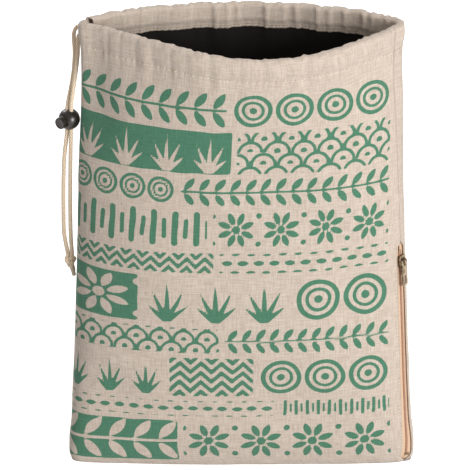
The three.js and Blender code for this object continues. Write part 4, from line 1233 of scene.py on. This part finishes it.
# %% [markdown]
# Now the finishes. Photographs of cloth could be laid on the pieces, but a pattern made
# of nodes has no edge and no fixed size. The cloth's UV is in metres across and up the
# cloth, so a weave keeps its scale and follows every fold. The helpers below keep each
# finish short to write.

# %% Node helpers


def paint(red, green, blue):
    """A colour given as a screen shows it, from 0 to 255, as light needs it."""
    shown = np.array([red, green, blue]) / 255
    linear = np.where(shown < 0.04045, shown / 12.92, ((shown + 0.055) / 1.055) ** 2.4)
    return (*(float(v) for v in linear), 1.0)


class Finish:
    """A material with short ways to add nodes and link them."""

    def __init__(self, name, roughness, metallic=0.0, **sockets):
        self.material = bpy.data.materials.new(name)
        self.material.use_nodes = True
        self.tree = self.material.node_tree
        self.shader = self.tree.nodes["Principled BSDF"]
        self.shader.inputs["Roughness"].default_value = roughness
        self.shader.inputs["Metallic"].default_value = metallic
        for socket, value in sockets.items():
            self.shader.inputs[socket.replace("_", " ")].default_value = value

    def node(self, kind, settings=None, **inputs):
        """Adds a node. An input is a number, a colour or another node's output."""
        made = self.tree.nodes.new(kind)
        for name, value in (settings or {}).items():
            setattr(made, name, value)
        for name, value in inputs.items():
            key = int(name[1:]) if name[0] == "i" and name[1:].isdigit() else name
            self.put(made.inputs[key], value)
        return made

    def put(self, socket, value):
        """Links an output to a socket, or sets the socket to a value."""
        if isinstance(value, bpy.types.NodeSocket):
            self.tree.links.new(value, socket)
        else:
            socket.default_value = value

    def math(self, operation, first, second=0.0, third=0.0):
        """The result of one Math node."""
        made = self.node("ShaderNodeMath", {"operation": operation}, i0=first, i1=second, i2=third)
        return made.outputs[0]

    def mix(self, share, first, second):
        """A colour between two others."""
        made = self.node("ShaderNodeMix", {"data_type": "RGBA"}, i0=share, i6=first, i7=second)
        return made.outputs[2]

    def noise(self, place, scale, detail=2.0, roughness=0.5):
        """Smooth chance values from 0 to 1."""
        made = self.node("ShaderNodeTexNoise", None, Vector=place, Scale=scale, Detail=detail,
                         Roughness=roughness)
        return made.outputs["Fac"]

    def spread(self, value, low, high, to_low=0.0, to_high=1.0):
        """Maps a value smoothly from one span to another."""
        made = self.node("ShaderNodeMapRange", {"interpolation_type": "SMOOTHSTEP"}, i0=value,
                         i1=low, i2=high, i3=to_low, i4=to_high)
        return made.outputs[0]

    def place(self, source, stretch=(1, 1, 1)):
        """UV or Object coordinates, stretched."""
        start = self.node("ShaderNodeTexCoord").outputs[source]
        return self.node("ShaderNodeMapping", None, Vector=start, Scale=stretch).outputs[0]

    def bump(self, height, depth):
        """Relief of that depth in metres."""
        made = self.node("ShaderNodeBump", None, Height=height, Distance=depth, Strength=1.0)
        self.put(self.shader.inputs["Normal"], made.outputs[0])

    def colour(self, value):
        """Sets or links the surface's colour."""
        self.put(self.shader.inputs["Base Color"], value)


print("mid grey as light:", [round(part, 3) for part in paint(128, 128, 128)[:3]])

# %% [markdown]
# All the cloth here is woven: threads run up and across, and each passes over one and
# under the next. Real threads would be far too many, so two sine waves give the relief,
# and noise drawn out along the threads gives thick and thin yarn.

# %% Weave


def weave(finish, pitch, unevenness):
    """Height of a plain weave from 0 to 1: two sets of threads that pass over and under.
    A slow noise shifts the threads, so that none runs quite straight."""
    place = finish.place("UV")
    drift = finish.math("MULTIPLY", finish.noise(place, 160, 2), unevenness)
    across, upward, _ = finish.node("ShaderNodeSeparateXYZ", None, Vector=place).outputs
    across = finish.math("ADD", across, drift)
    upward = finish.math("SUBTRACT", upward, drift)
    turn = math.pi / pitch
    warp = finish.math("SINE", finish.math("MULTIPLY", across, turn))
    weft = finish.math("SINE", finish.math("MULTIPLY", upward, turn))
    over = finish.math("MULTIPLY", warp, weft)
    round_warp = finish.math("ABSOLUTE", warp)
    round_weft = finish.math("ABSOLUTE", weft)
    threads = finish.math("MULTIPLY", round_warp, round_weft)
    lifted = finish.math("MULTIPLY_ADD", over, 0.25, 0.35)
    return finish.math("MULTIPLY_ADD", threads, 0.5, lifted)


def slubs(finish, along, scale):
    """Thick places in the yarn: a noise stretched along the threads."""
    across = (1, 0.09, 1) if along == "up" else (0.09, 1, 1)
    return finish.noise(finish.place("UV", across), scale, 3, 0.6)


# %% [markdown]
# Canvas is cream cotton: uneven yarn, a few darker specks of seed husk, no gloss. The
# print could be a picture, but the distance stored in the mesh keeps its edge sharp at any
# size. Where it is below zero the cloth is inked, and the ink stays thin between threads.
# A second distance sinks the cloth along its stitches, and painted shade darkens it there.

# %% Canvas and print
CREAM = paint(195, 182, 170)
CREAM_SHADE = paint(175, 160, 147)
HUSK = paint(150, 124, 98)
# Painted shade for the groove along the stitches.
STITCH_GROOVE_PAINTED_SHADE = paint(136, 116, 98)
INK = paint(46, 105, 80)
INK_THIN = paint(62, 117, 92)
CANVAS_PITCH = 0.75 * MM
SLUB_SCALE = 900
INK_EDGE = 0.22
INK_RAGGED = 0.7


def canvas_finish(name, printed):
    """Yarn in two creams with husk specks. Ink covers it where the stored distance is below
    zero. Painted shade darkens a groove that sinks along the stitches, over the relief of the
    weave."""
    canvas = Finish(name, 0.93, Sheen_Weight=0.12, Sheen_Roughness=0.6, Specular_IOR_Level=0.25)
    threads = weave(canvas, CANVAS_PITCH, 0.5 * MM)
    upright = slubs(canvas, "up", SLUB_SCALE)
    level = slubs(canvas, "across", SLUB_SCALE)
    yarn = canvas.math("MULTIPLY_ADD", upright, 0.5, canvas.math("MULTIPLY", level, 0.5))
    shade = canvas.spread(yarn, 0.38, 0.62)
    cloth = canvas.mix(shade, CREAM_SHADE, CREAM)
    specks = canvas.spread(canvas.noise(canvas.place("UV", (1, 0.4, 1)), 420, 1), 0.70, 0.76)
    cloth = canvas.mix(canvas.math("MULTIPLY", specks, 0.45), cloth, HUSK)
    stitched = canvas.node("ShaderNodeAttribute", {"attribute_name": "stitch_mm"}).outputs["Fac"]
    groove = canvas.spread(stitched, 0.1, 1.1, 1.0, 0.0)
    if printed:
        distance = canvas.node("ShaderNodeAttribute", {"attribute_name": "print_mm"}).outputs["Fac"]
        rough = canvas.noise(canvas.place("UV"), 1400, 2)
        ragged = canvas.math("MULTIPLY_ADD", rough, INK_RAGGED, distance)
        edge = INK_RAGGED / 2
        inked = canvas.spread(ragged, edge - INK_EDGE, edge + INK_EDGE, 1.0, 0.0)
        ink = canvas.mix(canvas.spread(yarn, 0.36, 0.66), INK, INK_THIN)
        cloth = canvas.mix(canvas.math("MULTIPLY", inked, 0.96), cloth, ink)
    # Painted shade darkens the cloth in the groove along the stitches.
    canvas.colour(canvas.mix(canvas.math("MULTIPLY", groove, 0.35), cloth, STITCH_GROOVE_PAINTED_SHADE))
    relief = canvas.math("MULTIPLY_ADD", yarn, 0.8, threads)
    sunk = canvas.math("MULTIPLY_ADD", groove, -3.0, relief)
    canvas.bump(sunk, 0.16 * MM)
    return canvas.material


printed_canvas = canvas_finish("printed canvas", True)
plain_canvas = canvas_finish("plain canvas", False)
print("nodes in the printed canvas:", len(printed_canvas.node_tree.nodes))

# %% [markdown]
# The lining is dull and nearly black, with faint streaks. The cord is braided cotton:
# strands wind both ways round it, which two slanting sine waves show on its UV, in relief
# and as painted shade in the grooves between them. The zip's tape is a fine twill, with
# slanting ribs that turn back like fishbones.

# %% Lining, cord and tape
LINING_BLACK = paint(7, 5, 3)
LINING_STREAK = paint(24, 19, 14)
LINING_PITCH = 0.9 * MM
COTTON = paint(236, 218, 194)
# Painted shade for the grooves between the braid's strands.
COTTON_PAINTED_GROOVE_SHADE = paint(206, 178, 146)
BRAID_TURNS = 6
BRAID_PITCH = 3.2 * MM
TAPE_TAN = paint(186, 152, 124)
TAPE_PALE = paint(220, 191, 165)
TWILL_RIB = 0.7 * MM
TWILL_BAND = 1.1 * MM


def lining_finish():
    """A near black weave with brownish streaks across it."""
    black = Finish("black lining", 0.8, Sheen_Weight=0.05, Specular_IOR_Level=0.3)
    threads = weave(black, LINING_PITCH, 0.4 * MM)
    streaks = slubs(black, "across", 700)
    black.colour(black.mix(streaks, LINING_BLACK, LINING_STREAK))
    black.bump(black.math("MULTIPLY_ADD", streaks, 0.6, threads), 0.2 * MM)
    return black.material


def braid_finish(name, light, painted_groove_shade, turns, pitch):
    """Braided cotton: strands that wind both ways round the cord, over and under, with
    painted shade in the grooves between them and random fibre tone.
    """
    cotton = Finish(name, 0.88, Sheen_Weight=0.15, Sheen_Roughness=0.5, Specular_IOR_Level=0.3)
    share, metres, _ = cotton.node("ShaderNodeSeparateXYZ", None, Vector=cotton.place("UV")).outputs
    around = cotton.math("MULTIPLY", share, 2 * math.pi * turns)
    onward = cotton.math("MULTIPLY", metres, 2 * math.pi / pitch)
    one_way = cotton.math("SINE", cotton.math("ADD", around, onward))
    other_way = cotton.math("SINE", cotton.math("SUBTRACT", around, onward))
    ridge = cotton.math("MAXIMUM", one_way, other_way)
    fibres = cotton.noise(cotton.place("UV", (6, 120, 1)), 8, 3)
    relief = cotton.math("MULTIPLY_ADD", fibres, 0.8, ridge)
    # Painted shade darkens the colour where the strands dip into grooves, and the fibre noise adds
    # random tone.
    tone = cotton.spread(relief, -0.4, 1.5)
    cotton.colour(cotton.mix(tone, painted_groove_shade, light))
    cotton.bump(relief, 0.22 * MM)
    return cotton.material


def tape_finish():
    """Twill: a sine across slanting ribs, which turn back at each band."""
    tan = Finish("zip tape", 0.9, Sheen_Weight=0.1, Specular_IOR_Level=0.25)
    across, upward, _ = tan.node("ShaderNodeSeparateXYZ", None, Vector=tan.place("UV")).outputs
    fold = tan.math("PINGPONG", across, TWILL_BAND)
    slant = tan.math("ADD", upward, fold)
    twill = tan.math("SINE", tan.math("MULTIPLY", slant, 2 * math.pi / TWILL_RIB))
    grain = tan.noise(tan.place("UV"), 1500, 2)
    tone = tan.math("MULTIPLY_ADD", twill, 0.18, grain)
    tan.colour(tan.mix(tone, TAPE_TAN, TAPE_PALE))
    tan.bump(tone, 0.12 * MM)
    return tan.material


black_lining = lining_finish()
braided_cotton = braid_finish("braided cotton", COTTON, COTTON_PAINTED_GROOVE_SHADE, BRAID_TURNS, BRAID_PITCH)
zip_cloth = tape_finish()
print("cloth finishes:", [cloth.name for cloth in (black_lining, braided_cotton, zip_cloth)])

# %% [markdown]
# The small parts need only noise on the object's own coordinates: twisted thread, dull
# nylon, brass that has darkened where nobody rubs it, in patches that are also painted
# dark reflections and highlights, and satin black plastic. Plain colours would do at this
# size, but a little unevenness keeps them from looking new.

# %% Thread, coil, brass and plastic
THREAD_TAN = paint(196, 178, 156)
THREAD_PALE = paint(236, 226, 210)
NYLON_BROWN = paint(170, 122, 98)
NYLON_PALE = paint(202, 162, 136)
# Brass tones for both wear and painted light: dull with painted dark reflection, rubbed with
# painted highlight.
BRASS_DULL_PAINTED_REFLECTION = paint(112, 97, 78)
BRASS_RUBBED_PAINTED_HIGHLIGHT = paint(170, 153, 130)
PLASTIC_BLACK = paint(22, 18, 15)
PLASTIC_HAZE = paint(34, 28, 23)


def thread_finish():
    """Thread in pale and tan, mixed by a fine noise that also roughens it."""
    thread = Finish("sewing thread", 0.8, Specular_IOR_Level=0.3)
    twist = thread.noise(thread.place("Object", (1, 1, 3)), 2600, 1)
    thread.colour(thread.mix(twist, THREAD_TAN, THREAD_PALE))
    thread.bump(twist, 0.06 * MM)
    return thread.material


def coil_finish():
    """Dull nylon in two browns."""
    nylon = Finish("zip coil", 0.5)
    tone = nylon.noise(nylon.place("Object"), 500, 2)
    nylon.colour(nylon.mix(tone, NYLON_BROWN, NYLON_PALE))
    nylon.bump(tone, 0.03 * MM)
    return nylon.material


def brass_finish():
    """Aged brass: bright where it is rubbed, brown and dull where it isn't. The same patches
    are painted highlights and painted dark reflections.
    """
    brass = Finish("aged brass", 0.4, 1.0)
    patches = brass.noise(brass.place("Object"), 240, 3, 0.55)
    scratches = brass.noise(brass.place("Object", (1, 1, 0.08)), 3000, 2)
    # Noise patches mix dull and bright brass: rubbed wear, and also painted dark reflections and
    # highlights.
    wear_and_painted_reflection = brass.spread(patches, 0.35, 0.65)
    brass.colour(brass.mix(wear_and_painted_reflection, BRASS_DULL_PAINTED_REFLECTION, BRASS_RUBBED_PAINTED_HIGHLIGHT))
    rough = brass.math("MULTIPLY_ADD", patches, 0.3, 0.22)
    brass.put(brass.shader.inputs["Roughness"], rough)
    brass.bump(brass.math("MULTIPLY_ADD", scratches, 0.4, patches), 0.02 * MM)
    return brass.material


def plastic_finish():
    """Satin plastic, nearly black, with a haze that changes its gloss."""
    plastic = Finish("black plastic", 0.42, Specular_IOR_Level=0.5)
    grain = plastic.noise(plastic.place("Object"), 2200, 2)
    haze = plastic.noise(plastic.place("Object"), 260, 2)
    plastic.colour(plastic.mix(haze, PLASTIC_BLACK, PLASTIC_HAZE))
    plastic.put(plastic.shader.inputs["Roughness"], plastic.math("MULTIPLY_ADD", haze, 0.25, 0.2))
    plastic.bump(grain, 0.03 * MM)
    return plastic.material


sewing_thread = thread_finish()
zip_nylon = coil_finish()
aged_brass = brass_finish()
black_plastic = plastic_finish()
print("small finishes:", [small.name for small in (sewing_thread, zip_nylon, aged_brass,
                                                   black_plastic)])

# %% [markdown]
# The pieces now take the place of the CAD solids. Each could be set up by hand, but one
# list shows all of them at a glance: its material, the body it rides on, the CAD node it
# stands for and the finish of the record that it takes.

# %% Dressing the model
DRESSED = [
    (front_panel, printed_canvas, "bag", ["front_panel"], "canvas"),
    (back_panel, plain_canvas, "bag", ["back_panel"], "canvas"),
    (lining, black_lining, "bag", ["lining"], "lining"),
    (drawcord, braided_cotton, "bag", ["drawcord"], "cord"),
    (front_end, braided_cotton, "bag", ["drawcord_front_end"], "cord"),
    (back_end, braided_cotton, "bag", ["drawcord_back_end"], "cord"),
    (knot, braided_cotton, "bag", ["cord_knot"], "cord"),
    (lock_ball, black_plastic, "bag", ["cord_lock_body"], "lock_plastic"),
    (lock_plunger, black_plastic, "plunger", ["cord_lock_plunger"], "lock_plastic"),
    (coil_front, zip_nylon, "bag", ["zip_coil_front"], "zip_coil"),
    (coil_back, zip_nylon, "bag", ["zip_coil_back"], "zip_coil"),
    (tape_front, zip_cloth, "bag", ["zip_tape_front"], "zip_tape"),
    (tape_back, zip_cloth, "bag", ["zip_tape_back"], "zip_tape"),
    (slider, aged_brass, "bag", ["zip_slider"], "zip_brass"),
    (puller, aged_brass, "puller", ["zip_puller"], "zip_brass"),
    (bottom_stop, aged_brass, "bag", ["zip_stop_bottom"], "zip_brass"),
    *[(piece, sewing_thread, "bag", [], "canvas") for group in stitches.values()
      for piece in group],
]
for piece, material, body, nodes, finish_slot in DRESSED:
    piece.data.materials.append(material)
    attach(piece, body)
    if nodes:
        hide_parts(*nodes)
print("pieces:", len(DRESSED))

# %% [markdown]
# Cord and cloth bend in use, yet here the two free ends and the three sheets keep one
# shape. The ball lock and the knot, which hang on the cord, and the stitches and tapes,
# which are sewn to the panels, all ride on the bag's body.

# %% Cords and sheets
print("free cord ends: 2, sheets: 3")

# %% [markdown]
# The studio is a pale floor under an even sky. A soft lamp at the front right brings out
# the folds and lights the inside of the back casing, as in the photograph, and a weaker
# one behind keeps the bag's plain side from going dull. The floor sends no light back up,
# because that would fill the folds and flatten the cloth.

# %% Floor and light
FLOOR_HALF = 30
FLOOR_GLOW = 0.5
SKY_STRENGTH = 0.56
LAMP_SIZE = 1.2
# Lamps: name, place in metres, watts
LAMPS = [("key lamp", (1.6, -2.2, 0.9), 84), ("rear lamp", (-1.3, 2.0, 2.0), 45)]
LAMP_TARGET = Vector((0, 0, 0.25))
floor = make_piece(
    "studio_floor",
    np.array([(-1, -1, 0), (1, -1, 0), (1, 1, 0), (-1, 1, 0)]) * FLOOR_HALF / MM,
    np.array([(0, 1, 2, 3)]))
white_floor = Finish("white floor", 0.9, Emission_Color=(1, 1, 1, 1), Emission_Strength=FLOOR_GLOW)
white_floor.colour((0.96, 0.96, 0.96, 1))
floor.data.materials.append(white_floor.material)
floor.visible_diffuse = False

sky = bpy.data.worlds.new("Sky")
sky.use_nodes = True
sky.node_tree.nodes["Background"].inputs["Color"].default_value = (1.0, 0.99, 0.98, 1)
sky.node_tree.nodes["Background"].inputs["Strength"].default_value = SKY_STRENGTH
bpy.context.scene.world = sky

for name, place, watts in LAMPS:
    lamp = bpy.data.lights.new(name, "AREA")
    lamp.size = LAMP_SIZE
    lamp.energy = watts
    lamp.color = (1.0, 0.99, 0.97)
    holder = bpy.data.objects.new(name, lamp)
    bpy.context.collection.objects.link(holder)
    holder.location = place
    holder.rotation_euler = (LAMP_TARGET - Vector(place)).to_track_quat("-Z", "Y").to_euler()
    print(name, "stands", round((LAMP_TARGET - Vector(place)).length, 2), "m from the bag")
